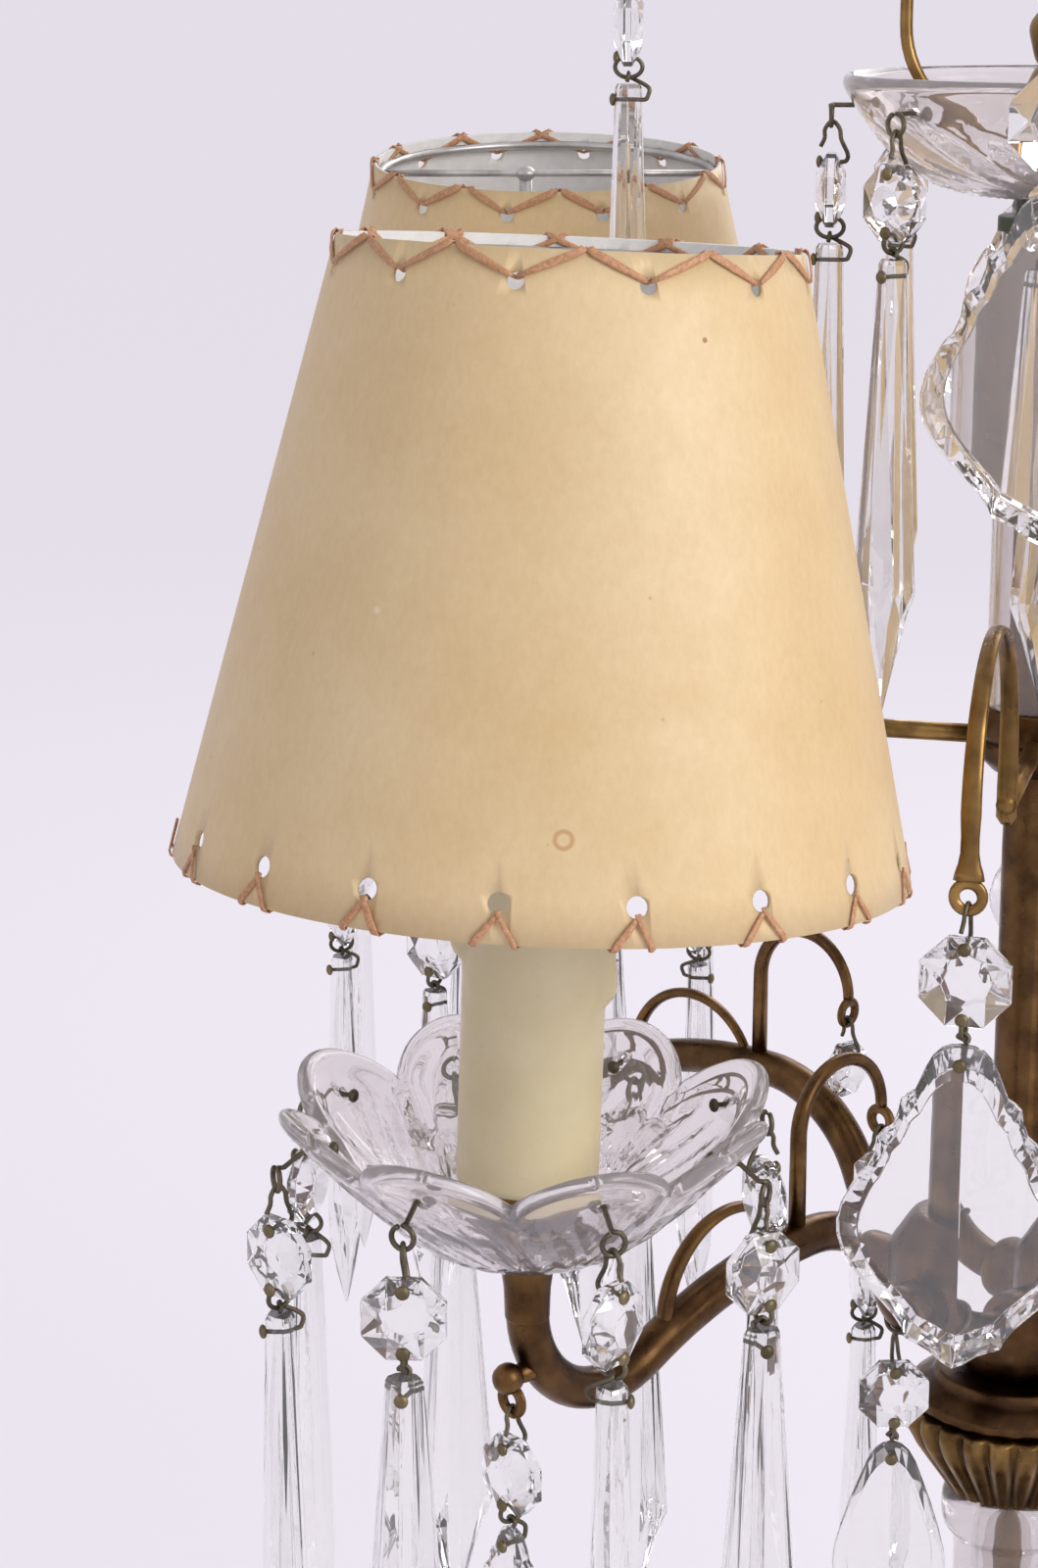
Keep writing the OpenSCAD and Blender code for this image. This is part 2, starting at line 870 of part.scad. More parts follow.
module bobeche(n) {
    steps = 7;
    wall_r = [for (k = [0:steps]) bowl_base_r + (bowl_rim_r - bowl_base_r) * k / steps];
    petal_x = bobeche_d / 2 - petal_r;
    color("lightcyan")
        at_candle(n)
            difference() {
                intersection() {
                    translate([0, 0, bowl_z])
                        rotate_extrude()
                            polygon(concat(
                                [[0, 0]],
                                [for (r = wall_r) [r, bowl_wall(r)]],
                                [for (k = [steps:-1:0]) [wall_r[k], bowl_wall(wall_r[k]) + bobeche_wall]],
                                [[0, bobeche_wall]]
                            ));
                    translate([0, 0, bowl_z - 1])
                        linear_extrude(bobeche_h + bobeche_wall + 2) {
                            circle(r = petal_x);
                            for (k = [0:petals - 1])
                                on_petal(k)
                                    translate([petal_x, 0])
                                        circle(r = petal_r);
                        }
                }
                bore(nipple_d + 2 * slip, bowl_z - 1, bowl_floor + 1);
                for (k = [0:petals - 1])
                    on_petal(k)
                        hole_x(hole_r, petal_hole_r, pin_z, 12);
            }
}

module candle_cups() {
    rim = cup_d / 2;
    spigot_r = candle_d / 2 - candle_wall - slip;
    top = candle_z + cup_seat;
    color("darkgoldenrod")
        for (n = [1:arms])
            at_candle(n)
                difference() {
                    rotate_extrude()
                        polygon([
                            [0, bowl_floor],
                            [rim - 2.5, bowl_floor],
                            [rim - 4.5, bowl_floor + 0.3 * cup_h],
                            [rim - 2, bowl_floor + 0.6 * cup_h],
                            [rim, bowl_floor + 0.85 * cup_h],
                            [rim, candle_z],
                            [spigot_r, candle_z],
                            [spigot_r, top],
                            [0, top]
                        ]);
                    bore(nipple_d + 2 * slip, bowl_floor - 1, top + 1);
                }
}

// Wax that ran down the sleeve, round at its lower end
module drip(length, width) {
    rotate_extrude()
        polygon([
            [0, -0.5 * width],
            [0.32 * width, -0.38 * width],
            [0.5 * width, 0],
            [0.4 * width, 0.5 * length],
            [0.4 * width, length - 1],
            [0, length - 1]
        ]);
}

module candle(n) {
    r = candle_d / 2;
    color("cornsilk")
        at_candle(n)
            difference() {
                union() {
                    bore(candle_d, candle_z, candle_top);
                    for (d = drips)
                        rotate([0, 0, d[0]])
                            translate([r - d[2] * 0.25, 0, candle_top - d[1]])
                                drip(d[1], d[2]);
                }
                bore(candle_d - 2 * candle_wall, candle_z - 1, candle_top + 1);
            }
}

module lampholders() {
    color("dimgray")
        for (n = [1:arms])
            at_candle(n)
                difference() {
                    bore(holder_d, holder_z, holder_top);
                    bore(cap_d + 2 * slip, holder_top - cap_h, holder_top + 1);
                }
}

module bulbs() {
    color("white")
        for (n = [1:arms])
            at_candle(n) {
                bore(cap_d, holder_top - cap_h, holder_top + clear);
                bore(bulb_neck_d, holder_top + clear, bulb_z);
                translate([0, 0, bulb_z])
                    sphere(d = bulb_d);
            }
}

// Shades, which tilt on the bulbs

module lean(n) {
    at_candle(n)
        rotate([0, 0, -arm_angle[n - 1]])
            translate([0, 0, bulb_z])
                rotate([lean_x[n - 1], lean_y[n - 1], 0])
                    translate([0, 0, -bulb_z])
                        children();
}

module shade(n) {
    color("wheat")
        lean(n)
            translate([slide[n - 1], 0, 0])
                rotate_extrude()
                    polygon([
                        [shade_bottom_d / 2 - paper, shade_z],
                        [shade_bottom_d / 2, shade_z],
                        [shade_top_d / 2, shade_top],
                        [shade_top_d / 2 - paper, shade_top]
                    ]);
}

module shade_frame(n) {
    ring_in = 3;
    wire_gap = frame_wire * 0.6 + paper + 0.15;
    low_r = shade_bottom_d / 2 - shade_slope * ring_in - wire_gap;
    high_r = shade_top_d / 2 + shade_slope * ring_in - wire_gap;
    high_z = shade_top - ring_in;
    post_z = bulb_z + clip_r;
    color("darkgray")
        lean(n) {
            translate([slide[n - 1], 0, shade_z + ring_in])
                rotate_extrude()
                    translate([low_r, 0])
                        circle(d = frame_wire);
            translate([slide[n - 1], 0, high_z])
                rotate_extrude()
                    translate([high_r, 0])
                        circle(d = frame_wire);
            translate([slide[n - 1], 0, high_z])
                rotate([0, 90, 0])
                    cylinder(d = frame_wire * 0.8, h = 2 * high_r, center = true);
            translate([0, 0, post_z - clip_wire / 4])
                cylinder(d = 3, h = high_z - post_z + clip_wire / 4);
            for (turn = [45, 135])
                rotate([0, 0, turn])
                    arc_bar(0, bulb_z, clip_r, 90 - clip_reach, 90 + clip_reach, clip_wire);
        }
}

// Glass drops and their wires

module branch_drops(n) {
    color("azure")
        at_candle(n)
            for (k = [0:petals - 1])
                on_petal(k)
                    drop_glass(pin_eye_x, pin_z - eye_r, bead_d)
                        prism(prism_l);
    color("azure")
        on_branch(n)
            translate([loop_eye_x, 0, loop_eye_z + bead_z(scroll_bead_d)])
                bead(scroll_bead_d);
}

module dish_drops() {
    color("azure")
        for (k = [0:dish_drops_n - 1])
            on_dish(k)
                drop_glass(dish_eye_x, dish_pin_z - eye_r, bead_d)
                    prism(prism_l);
}

module drop_wires() {
    color("darkkhaki") {
        for (n = [1:arms])
            at_candle(n)
                for (k = [0:petals - 1])
                    on_petal(k) {
                        wall_pin(petal_hole_r, pin_eye_x, pin_z);
                        drop_rings(pin_eye_x, pin_z - eye_r, bead_d);
                    }
        for (n = [1:arms])
            on_branch(n)
                wire_ring(loop_eye_x, loop_eye_z - eye_sag - link_r);
        for (k = [0:dish_drops_n - 1])
            on_dish(k) {
                wall_pin(dish_hole_r, dish_eye_x, dish_pin_z);
                drop_rings(dish_eye_x, dish_pin_z - eye_r, bead_d);
            }
    }
}

module swinging_drop(x, z, d) {
    color("azure")
        drop_glass(x, z, d)
            children();
    color("darkkhaki")
        drop_rings(x, z, d);
}

module stud_drop(n) {
    on_branch(n)
        swinging_drop(stud_eye_x, stud_eye_z, bead_d)
            pendalogue(stud_drop_h, stud_drop_w);
}

module hook_drop(n) {
    on_hook(n)
        swinging_drop(hook_r, hook_eye_z, large_bead_d)
            pendalogue(pendalogue_h, pendalogue_w);
}

module crown_drop(n) {
    on_crown(n)
        swinging_drop(crown_r, crown_eye_z(n), large_bead_d)
            if (n % 2 == 1)
                pendalogue(pendalogue_h, pendalogue_w);
            else
                prism(crown_prism_l);
}

felt_ring();
foot();
foot_nut();
centre_rod();
glass_stem();
fluted_cup();
turned_ring();
hub();
column_tube();
hook_collar();
mid_hooks();
glass_sleeve();
dish_washer();
upper_dish();
crown();
finial();
drip_cups();
candle_cups();
lampholders();
bulbs();
drop_wires();
dish_drops();
for (n = [1:arms]) {
    arm(n);
    bobeche(n);
    candle(n);
    branch_drops(n);
    shade(n);
    shade_frame(n);
    stud_drop(n);
}
for (n = [1:hooks_n]) {
    hook_drop(n);
}
for (n = [1:crown_n]) {
    crown_drop(n);
}
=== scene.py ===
"""Looks of an electrified table girandole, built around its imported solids.

Lengths in the mesh code are millimetres in the part's frame; pieces are made in metres.
"""

import random
from math import atan, atan2, cos, degrees, exp, pi, radians, sin, sqrt

import bmesh
import bpy
from mathutils import Matrix, Vector


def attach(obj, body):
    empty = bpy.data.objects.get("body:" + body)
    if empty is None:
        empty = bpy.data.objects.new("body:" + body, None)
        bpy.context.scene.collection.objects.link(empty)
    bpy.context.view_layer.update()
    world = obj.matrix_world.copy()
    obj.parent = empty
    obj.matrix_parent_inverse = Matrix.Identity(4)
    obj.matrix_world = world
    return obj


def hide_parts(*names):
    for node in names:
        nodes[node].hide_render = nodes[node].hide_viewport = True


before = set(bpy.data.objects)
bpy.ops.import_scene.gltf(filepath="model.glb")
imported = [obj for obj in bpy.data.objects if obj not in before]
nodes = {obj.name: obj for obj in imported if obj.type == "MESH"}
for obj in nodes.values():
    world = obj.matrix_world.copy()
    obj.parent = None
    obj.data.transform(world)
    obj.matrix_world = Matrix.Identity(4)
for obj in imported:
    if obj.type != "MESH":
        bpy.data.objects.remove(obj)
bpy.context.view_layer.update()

MM = 0.001
STAND = "stand"
FRONT = 270
ARMS = {1: 225, 2: 135, 3: 45, 4: 315}
rng = random.Random(11)

# Column: its bore, the felt and heights up it

BORE_R = 3.2
FELT_T = 2.0
STEM_Z = 30.0
CUP_Z = 156.0
RING_Z = 176.0
HUB_LOW = 184.0
HUB_Z = 202.0
HUB_HIGH = 220.0
COLLAR_LOW = 319.0
COLLAR_Z = 326.0
SLEEVE_Z = 333.0
WASHER_Z = 431.0
DISH_Z = 438.0
BOSS_Z = 441.5
FINIAL_Z = 463.5

# Dish, crown and hooks

DISH_R = 44.0
DISH_H = 24.0
DISH_BASE_R = 13.0
DISH_POWER = 2.6
DISH_WALL = 3.0
DISH_DROPS = 8
DISH_HOLE_R = 41.0
DISH_EYE_X = DISH_HOLE_R + 5.2
CROWNS = 4
CROWN_TURN = 10.0
CROWN_R = 88.0
CROWN_IN_R = 32.0
CROWN_TOP = 530.0
CROWN_EYE_Z = (487.0, 473.0)
CROWN_WIRE_R = 1.3
HOOKS = 4
HOOK_TURN = 15.0
HOOK_R = 112.0
HOOK_BAR_R = 57.0
HOOK_LEG = 12.0
HOOK_EYE_Z = 322.9

# Branches

TUBE_R = 4.0
SOCKET_R = 24.0
SOCKET_FLOOR = 11.0
BRANCH_R = 152.0
BEND_R = 22.0
HUMP_R = 72.0
HUMP_Z = 235.0
TROUGH_R = 130.0
TROUGH_Z = 222.0
STUD_TURN = -35.0
STUD_L = 9.0
STUD_EYE = (156.02, 226.78)
SCROLL_R = 18.5
LOOP_X = 62.5
LOOP_Z = 257.0
LOOP_R = 13.0
LOOP_EYE = (LOOP_X - LOOP_R, LOOP_Z - 3.1)

# Candles and shades

CANDLE_R = 13.0
CANDLE_WALL = 1.5
CANDLE_Z = 270.0
CANDLE_TOP = 355.0
BULB_R = 20.0
BULB_Z = 387.0
SHADE_Z = 328.0
SHADE_TOP = 436.0
SHADE_LOW_R = 65.0
SHADE_HIGH_R = 40.0
PAPER = 0.8
RIM_IN = 3.0
CLIP_WIRE_R = 0.9
LEAN = {1: (-3.5, 2.5), 2: (6.0, 0.0)}
SLIDE = {1: 5.0, 2: 5.0}

# Bobeches and drops

PETALS = 8
PETAL_TURN = 18.0
BOBECHE_R = 45.5
PIN_Z = 276.8
PIN_EYE_X = 46.7
EYE_R = 2.1
EYE_SAG = 0.8
LINK_R = 4.2
WIRE_R = 0.45
PIN_HEAD_R = 1.3
BEAD_EDGE = 2.4
BEAD_T = 6.0
BEAD_D = 16.0
BIG_BEAD_D = 18.0
SCROLL_BEAD_D = 13.0
HEAD = 3.2
PRISM_L = 90.0
CROWN_PRISM_L = 78.0
PRISM_W = 16.5
PENDALOGUE = (63.0, 45.0)
PENDALOGUE_T = 5.6
STUD_PENDALOGUE = (34.0, 22.0)
SMALL_DROP_T = 4.2
GLASS_EDGE = 0.12

# Sizes that the scene sets by the photograph

SEAT_Z = 254.0
BOWL_Z = 257.0
BOWL_FLOOR = 260.0
BOBECHE_H = 28.8
BOBECHE_POWER = 1.25
BOBECHE_BASE_R = 16.0
BOBECHE_RIM_R = 46.0
PIN_HOLE_R = 39.5
SPEAR_T = 5.6
CANDLE_LEAN = {1: 1.8}
SHADE_LIFT = 2.5
INNER_R = 40.0
INNER_ALMOND = (44.0, 24.0)
INNER_PRISM_L = 70.0


def turned(turn, axis="Z"):
    return Matrix.Rotation(radians(turn), 4, axis)


def moved(x, y, z):
    return Matrix.Translation((x, y, z))


def branch(n):
    return turned(ARMS[n])


def candle(n):
    return branch(n) @ moved(BRANCH_R, 0, 0)


def petal(n, k):
    return candle(n) @ turned(PETAL_TURN + 360 / PETALS * k)


def hook(n):
    return turned(FRONT - HOOK_TURN - 360 / HOOKS * (n - 1))


def crown(n):
    return turned(FRONT - CROWN_TURN - 360 / CROWNS * (n - 1))


def dish(k):
    return turned(FRONT - HOOK_TURN / 2 - 360 / DISH_DROPS * k)


def leaned(n):
    tip, roll = LEAN.get(n, (0, 0))
    x, y, _ = candle(n).translation
    return moved(x, y, BULB_Z) @ turned(roll, "Y") @ turned(tip, "X")


# Mesh making


def linked(name, data):
    obj = bpy.data.objects.new(name, data)
    bpy.context.scene.collection.objects.link(obj)
    return obj


class Form:
    """Gathers faces in millimetres, then becomes one piece of the scene."""

    def __init__(self):
        self.verts, self.faces, self.slots, self.smooth = [], [], [], []

    def add(self, made, at=Matrix.Identity(4), slot=0, smooth=True):
        verts, faces = made
        base = len(self.verts)
        self.verts += [at @ Vector(v) for v in verts]
        self.faces += [[base + i for i in f] for f in faces]
        self.slots += [slot] * len(faces)
        self.smooth += [smooth] * len(faces)
        return self

    def mesh(self, name):
        mesh = bpy.data.meshes.new(name)
        mesh.from_pydata([v * MM for v in self.verts], [], self.faces)
        mesh.polygons.foreach_set("material_index", self.slots)
        mesh.polygons.foreach_set("use_smooth", self.smooth)
        faces = bmesh.new()
        faces.from_mesh(mesh)
        bmesh.ops.recalc_face_normals(faces, faces=faces.faces)
        faces.to_mesh(mesh)
        faces.free()
        mesh.update()
        return mesh

    def piece(self, name, looks, slot, replaces=(), body=STAND, bevel=0.0):
        obj = linked(name, self.mesh(name))
        for look in looks:
            obj.data.materials.append(look)
        if bevel:
            mod = obj.modifiers.new("edges", "BEVEL")
            mod.width = bevel * MM
            mod.segments = 2
            mod.limit_method = "ANGLE"
            mod.angle_limit = radians(12)
        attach(obj, body)
        if replaces:
            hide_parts(*replaces)
        return obj


def around(count):
    """The angles of equal steps round a circle."""
    return [2 * pi * i / count for i in range(count)]


def circle(r, z, sides):
    return [(r * cos(a), r * sin(a), z) for a in around(sides)]


def band(rings, closed=False):
    """Faces through rings of points. A closed band joins its last ring to its first, an open one has caps."""
    sides = len(rings[0])
    verts = [p for ring in rings for p in ring]
    faces = []
    count = len(rings)
    for k in range(count if closed else count - 1):
        for i in range(sides):
            j = (i + 1) % sides
            a, b = k * sides, (k + 1) % count * sides
            faces.append((a + i, a + j, b + j, b + i))
    if not closed:
        faces.append(tuple(range(sides - 1, -1, -1)))
        faces.append(tuple((count - 1) * sides + i for i in range(sides)))
    return verts, faces


def lathe(profile, sides=96, closed=True, shape=None):
    """A turned form. A profile runs round the section, with the outside going up."""
    rings = []
    for r, z in profile:
        ring = []
        for a in around(sides):
            rr, zz = shape(a, r, z) if shape else (r, z)
            ring.append((rr * cos(a), rr * sin(a), zz))
        rings.append(ring)
    return band(rings, closed)


def soft(points, radius, steps=3):
    """The same closed line of points with its corners rounded."""
    most = 0.42
    out = []
    count = len(points)
    for i, corner in enumerate(points):
        p = Vector(corner)
        before, after = Vector(points[i - 1]), Vector(points[(i + 1) % count])
        a = p + (before - p).normalized() * min(radius, most * (before - p).length)
        b = p + (after - p).normalized() * min(radius, most * (after - p).length)
        for s in range(steps + 1):
            t = s / steps
            out.append(tuple(a * (1 - t) ** 2 + p * 2 * t * (1 - t) + b * t ** 2))
    return out


def raised(z, profile, radius, steps=4):
    """A rounded profile whose heights are counted from z."""
    return soft([(r, z + up) for r, up in profile], radius, steps)


def tube(points, radius, sides=12, closed=False, squash=1.0, side=None):
    """A round or flattened bar along points. radius is one number, or a list with one for each point."""
    points = [Vector(p) for p in points]
    count = len(points)
    radii = radius if isinstance(radius, list) else [radius] * count
    rings = []
    across = Vector(side) if side else None
    for i, p in enumerate(points):
        if closed:
            along = points[(i + 1) % count] - points[i - 1]
        else:
            along = points[min(i + 1, count - 1)] - points[max(i - 1, 0)]
        along.normalize()
        if across is None:
            across = Vector((0, 0, 1)) if abs(along.z) < 0.9 else Vector((1, 0, 0))
        across = (across - along * across.dot(along)).normalized()
        other = along.cross(across)
        r = radii[i]
        rings.append([p + across * (r * squash * cos(a)) + other * (r * sin(a))
                      for a in around(sides)])
    return band(rings, closed)


def arc(x, z, r, start, end, steps):
    """Points of an arc in the plane of X and Z."""
    turns = [radians(start + (end - start) * s / steps) for s in range(steps + 1)]
    return [(x + r * cos(a), 0.0, z + r * sin(a)) for a in turns]


def ball(x, z, r, flat=(1, 1, 1)):
    """A ball with its middle in the plane of X and Z, flattened along the axes."""
    sides, rows, pole = 14, 9, 0.02
    rings = []
    for k in range(rows + 1):
        b = pi * (pole + (1 - 2 * pole) * k / rows) - pi / 2
        wide, up = r * cos(b), r * sin(b)
        rings.append([(x + flat[0] * wide * cos(a), flat[1] * wide * sin(a), z + flat[2] * up)
                      for a in around(sides)])
    return band(rings)


RIBBON = ((-1, -0.4), (-0.6, -1), (0.6, -1), (1, -0.4), (1, 0.4), (0.5, 1.1), (-0.5, 1.1), (-1, 0.4))


def ribbon(points, normals, widths, thick):
    """A flat strip along points that faces its normals."""
    points = [Vector(p) for p in points]
    rings = []
    for i, p in enumerate(points):
        along = (points[min(i + 1, len(points) - 1)] - points[max(i - 1, 0)]).normalized()
        n = Vector(normals[i])
        n = (n - along * n.dot(along)).normalized()
        across = along.cross(n)
        w, t = widths[i] / 2, thick / 2
        rings.append([p + across * w * u + n * t * v for u, v in RIBBON])
    return band(rings)


def carved(obj, cutter):
    """Cuts the cutter's form out of the piece for good."""
    tool = linked("cutter", cutter.mesh("cutter"))
    mod = obj.modifiers.new("holes", "BOOLEAN")
    mod.operation = "DIFFERENCE"
    mod.solver = "EXACT"
    mod.object = tool
    made = bpy.data.meshes.new_from_object(obj.evaluated_get(bpy.context.evaluated_depsgraph_get()))
    obj.modifiers.remove(mod)
    obj.data = made
    bpy.data.objects.remove(tool)


def drilled(obj, r, z, reach, places):
    """Drills a pin's hole through a glass wall at each place."""
    holes = Form()
    for at in places:
        holes.add(tube([(r - reach, 0, z), (r + reach, 0, z)], 1.0), at)
    carved(obj, holes)


# Materials


def rgba(colour):
    """A colour with its alpha. A socket stays as it is."""
    return colour if isinstance(colour, bpy.types.NodeSocket) else (*colour, 1)


def new_node(tree, kind, out, *values, how=None, **named):
    """A new node's output. Its inputs, by place or by name, are values or sockets to link."""
    made = tree.nodes.new("ShaderNode" + kind)
    if how:
        setattr(made, "blend_type" if kind == "MixRGB" else "operation", how)
    for key, value in [*enumerate(values), *named.items()]:
        if isinstance(value, bpy.types.NodeSocket):
            tree.links.new(value, made.inputs[key])
        else:
            made.inputs[key].default_value = value
    return made.outputs[out]


class Look:
    """A procedural material around one Principled shader."""

    def __init__(self, name, **values):
        self.mat = bpy.data.materials.new(name)
        self.mat.use_nodes = True
        self.tree = self.mat.node_tree
        self.shader = self.tree.nodes["Principled BSDF"]
        self.coords = self.node("TexCoord", "Object")
        for key, value in values.items():
            self.shader.inputs[key.replace("_", " ")].default_value = value

    def node(self, kind, out, *values, **named):
        return new_node(self.tree, kind, out, *values, **named)

    def noise(self, scale, detail=4.0, rough=0.55, stretch=(1, 1, 1)):
        spot = self.node("Mapping", "Vector", Vector=self.coords, Scale=stretch)
        return self.node("TexNoise", "Fac", Vector=spot, Scale=scale, Detail=detail, Roughness=rough)

    def spots(self, scale, size):
        far = self.node("TexVoronoi", "Distance", Vector=self.coords, Scale=scale, Randomness=1.0)
        return self.ramp(far, [(0.0, 1.0), (size, 0.0)])

    def ramp(self, fac, stops):
        out = self.node("ValToRGB", "Color", fac)
        elements = out.node.color_ramp.elements
        while len(elements) < len(stops):
            elements.new(0.5)
        for element, (at, colour) in zip(elements, stops):
            element.position = at
            element.color = (colour, colour, colour, 1) if isinstance(colour, (int, float)) else (*colour, 1)
        return out

    def mottle(self, stops, *noise):
        return self.ramp(self.noise(*noise), stops)

    def mix(self, fac, a, b, how="MIX"):
        return self.node("MixRGB", "Color", fac, rgba(a), rgba(b), how=how)

    def mark(self, at, stops):
        """A round mark about one point of the frame, in metres, shaped by stops along its radius."""
        far = self.node("VectorMath", "Value", self.coords, at, how="DISTANCE")
        return self.ramp(self.node("Math", 0, far, MARK_SCALE, how="MULTIPLY"), stops)

    def worn(self):
        """Most on edges that stand out, less on flats, none in corners."""
        return self.ramp(self.node("NewGeometry", "Pointiness"), [(0.48, 0.0), (0.56, 1.0)])

    def to(self, **links):
        for key, socket in links.items():
            self.tree.links.new(socket, self.shader.inputs[key.replace("_", " ")])

    def bump(self, height, strength, distance):
        self.to(Normal=self.node("Bump", "Normal", Strength=strength, Distance=distance * MM, Height=height))
        return self


# Marks on the front shade, in metres; their ramps' stops are counted in 1 / MARK_SCALE metres

MARK_SCALE = 250.0
STAIN = (-0.102, -0.1704, 0.3505)
SPECK = (-0.0792, -0.1424, 0.426)
RUB = (-0.1315, -0.1522, 0.3838)


def parchment():
    """Mottled parchment, with the front shade's stain ring, brown speck and rubbed spot."""
    look = Look("parchment", Specular_IOR_Level=0.5, Sheen_Weight=0.15)
    cloud = look.mottle([(0.32, (0.83, 0.655, 0.385)), (0.7, (0.745, 0.55, 0.285))], 28, 5, 0.6)
    fibre = look.mottle([(0.3, (0.93, 0.9, 0.86)), (0.7, (1.0, 1.0, 1.0))], 750, 6, 0.7, (1, 1, 0.6))
    speck = look.spots(95, 0.045)
    colour = look.mix(1.0, cloud, fibre, "MULTIPLY")
    colour = look.mix(speck, colour, (0.52, 0.31, 0.12))
    ring = look.mark(STAIN, [(0.24, 0.0), (0.34, 0.75), (0.4, 0.75), (0.5, 0.0)])
    colour = look.mix(ring, colour, (0.56, 0.29, 0.11))
    colour = look.mix(look.mark(SPECK, [(0.08, 0.9), (0.15, 0.0)]), colour, (0.33, 0.13, 0.03))
    colour = look.mix(look.mark(RUB, [(0.12, 0.6), (0.26, 0.0)]), colour, (0.92, 0.86, 0.74))
    look.to(Base_Color=colour, Roughness=look.mottle([(0.3, 0.42), (0.75, 0.6)], 160, 4))
    return look.bump(look.noise(900, 6, 0.7), 0.22, 0.12).mat


def lining():
    look = Look("shade_lining", Specular_IOR_Level=0.2)
    look.to(Base_Color=look.mottle([(0.3, (0.8, 0.79, 0.76)), (0.7, (0.9, 0.89, 0.87))], 300, 5),
            Roughness=look.mottle([(0.3, 0.7), (0.7, 0.85)], 500))
    return look.bump(look.noise(1200, 5), 0.2, 0.1).mat


def raffia():
    look = Look("raffia", Specular_IOR_Level=0.45)
    streak = look.mottle([(0.3, (0.36, 0.165, 0.075)), (0.52, (0.58, 0.3, 0.155)),
                         (0.74, (0.74, 0.47, 0.285))], 1500, 6, 0.75)
    look.to(Base_Color=streak, Roughness=look.mottle([(0.3, 0.38), (0.7, 0.62)], 900))
    return look.bump(look.noise(2200, 5), 0.5, 0.15).mat


def wax():
    look = Look("candle_sleeve", Subsurface_Weight=0.18, Subsurface_Scale=0.004, Specular_IOR_Level=0.4)
    look.shader.inputs["Subsurface Radius"].default_value = (1.0, 0.75, 0.4)
    tone = look.mottle([(0.3, (0.76, 0.665, 0.435)), (0.7, (0.69, 0.59, 0.355))], 70, 5)
    dust = look.mottle([(0.62, 0.0), (0.82, 0.35)], 600, 5)
    look.to(Base_Color=look.mix(dust, tone, (0.55, 0.46, 0.28)),
            Roughness=look.mottle([(0.3, 0.3), (0.7, 0.48)], 220))
    return look.bump(look.noise(260, 4), 0.12, 0.2).mat


def metal(name, dark, middle, bright, rough, shine=1.0, green=0.0):
    """Old brass: a brown skin, brighter where hands and edges wore it."""
    look = Look(name, Metallic=shine)
    skin = look.mottle([(0.34, dark), (0.62, middle)], 85, 7, 0.65)
    patchy = look.mottle([(0.35, 0.25), (0.65, 1.0)], 140, 5)
    colour = look.mix(look.mix(1.0, look.worn(), patchy, "MULTIPLY"), skin, bright)
    if green:
        crust = look.mottle([(0.6, 0.0), (0.72, green)], 420, 6, 0.7)
        colour = look.mix(crust, colour, (0.2, 0.235, 0.17))
    look.to(Base_Color=colour, Roughness=look.mottle([(0.3, rough[0]), (0.7, rough[1])], 230, 6))
    return look.bump(look.noise(480, 5), 0.16, 0.15).mat


def glass(name, tint, wave, waves, haze, ior, clear):
    """Clear lead glass with slight waves in its surface and a trace of dust."""
    look = Look(name, Transmission_Weight=clear, IOR=ior)
    dust = look.mottle([(0.52, 0.0), (0.8, 1.0)], 330, 6, 0.7)
    look.to(Base_Color=look.mix(dust, tint, tuple(c * 0.93 for c in tint)),
            Roughness=look.mottle([(0.45, 0.0), (0.85, haze)], 420, 5))
    return look.bump(look.noise(waves, 3), wave, 0.35).mat


def plain(name, a, b, scale, rough, bump=0.2, **values):
    look = Look(name, **values)
    look.to(Base_Color=look.mottle([(0.3, a), (0.7, b)], scale, 5),
            Roughness=look.mottle([(0.3, rough[0]), (0.7, rough[1])], scale * 1.7, 4))
    return look.bump(look.noise(scale * 2.5, 5), bump, 0.15).mat


PARCHMENT = parchment()
LINING = lining()
RAFFIA = raffia()
WAX = wax()
BROWN = metal("brown_brass", (0.02, 0.0097, 0.0065), (0.055, 0.0285, 0.0168), (0.23, 0.127, 0.046),
              (0.22, 0.44))
GOLD = metal("gold_brass", (0.053, 0.029, 0.012), (0.136, 0.078, 0.029), (0.36, 0.22, 0.074), (0.24, 0.46))
WIRE = metal("tarnished_wire", (0.035, 0.031, 0.022), (0.085, 0.075, 0.052), (0.17, 0.145, 0.095),
             (0.35, 0.6), 0.85, 0.7)
PIN = metal("pin_brass", (0.05, 0.041, 0.022), (0.115, 0.094, 0.05), (0.24, 0.195, 0.105),
            (0.35, 0.6), 0.85, 0.35)
STEEL = metal("shade_wire", (0.2, 0.19, 0.17), (0.36, 0.35, 0.33), (0.6, 0.58, 0.55), (0.3, 0.5), 0.9)
CUT_GLASS = glass("cut_glass", (0.97, 0.965, 0.96), 0.05, 60, 0.03, 1.55, 0.95)
BOWL_GLASS = glass("moulded_glass", (0.955, 0.925, 0.92), 0.1, 110, 0.06, 1.32, 0.86)
STEM_GLASS = glass("stem_glass", (0.8, 0.765, 0.75), 0.15, 80, 0.08, 1.45, 0.9)
BULB = plain("frosted_bulb", (0.84, 0.83, 0.79), (0.92, 0.91, 0.88), 300, (0.32, 0.42), 0.05,
             Transmission_Weight=0.25)
BAKELITE = plain("bakelite", (0.012, 0.011, 0.01), (0.03, 0.026, 0.022), 400, (0.3, 0.5))
FELT = plain("green_felt", (0.01, 0.035, 0.018), (0.028, 0.075, 0.04), 900, (0.85, 1.0), 0.8,
             Sheen_Weight=0.4)
GREEN = metal("green_washer", (0.01, 0.022, 0.014), (0.03, 0.05, 0.032), (0.1, 0.12, 0.08),
              (0.4, 0.6), 0.6)


# Column

FLUTES = 24
FLUTED_R = 11.0


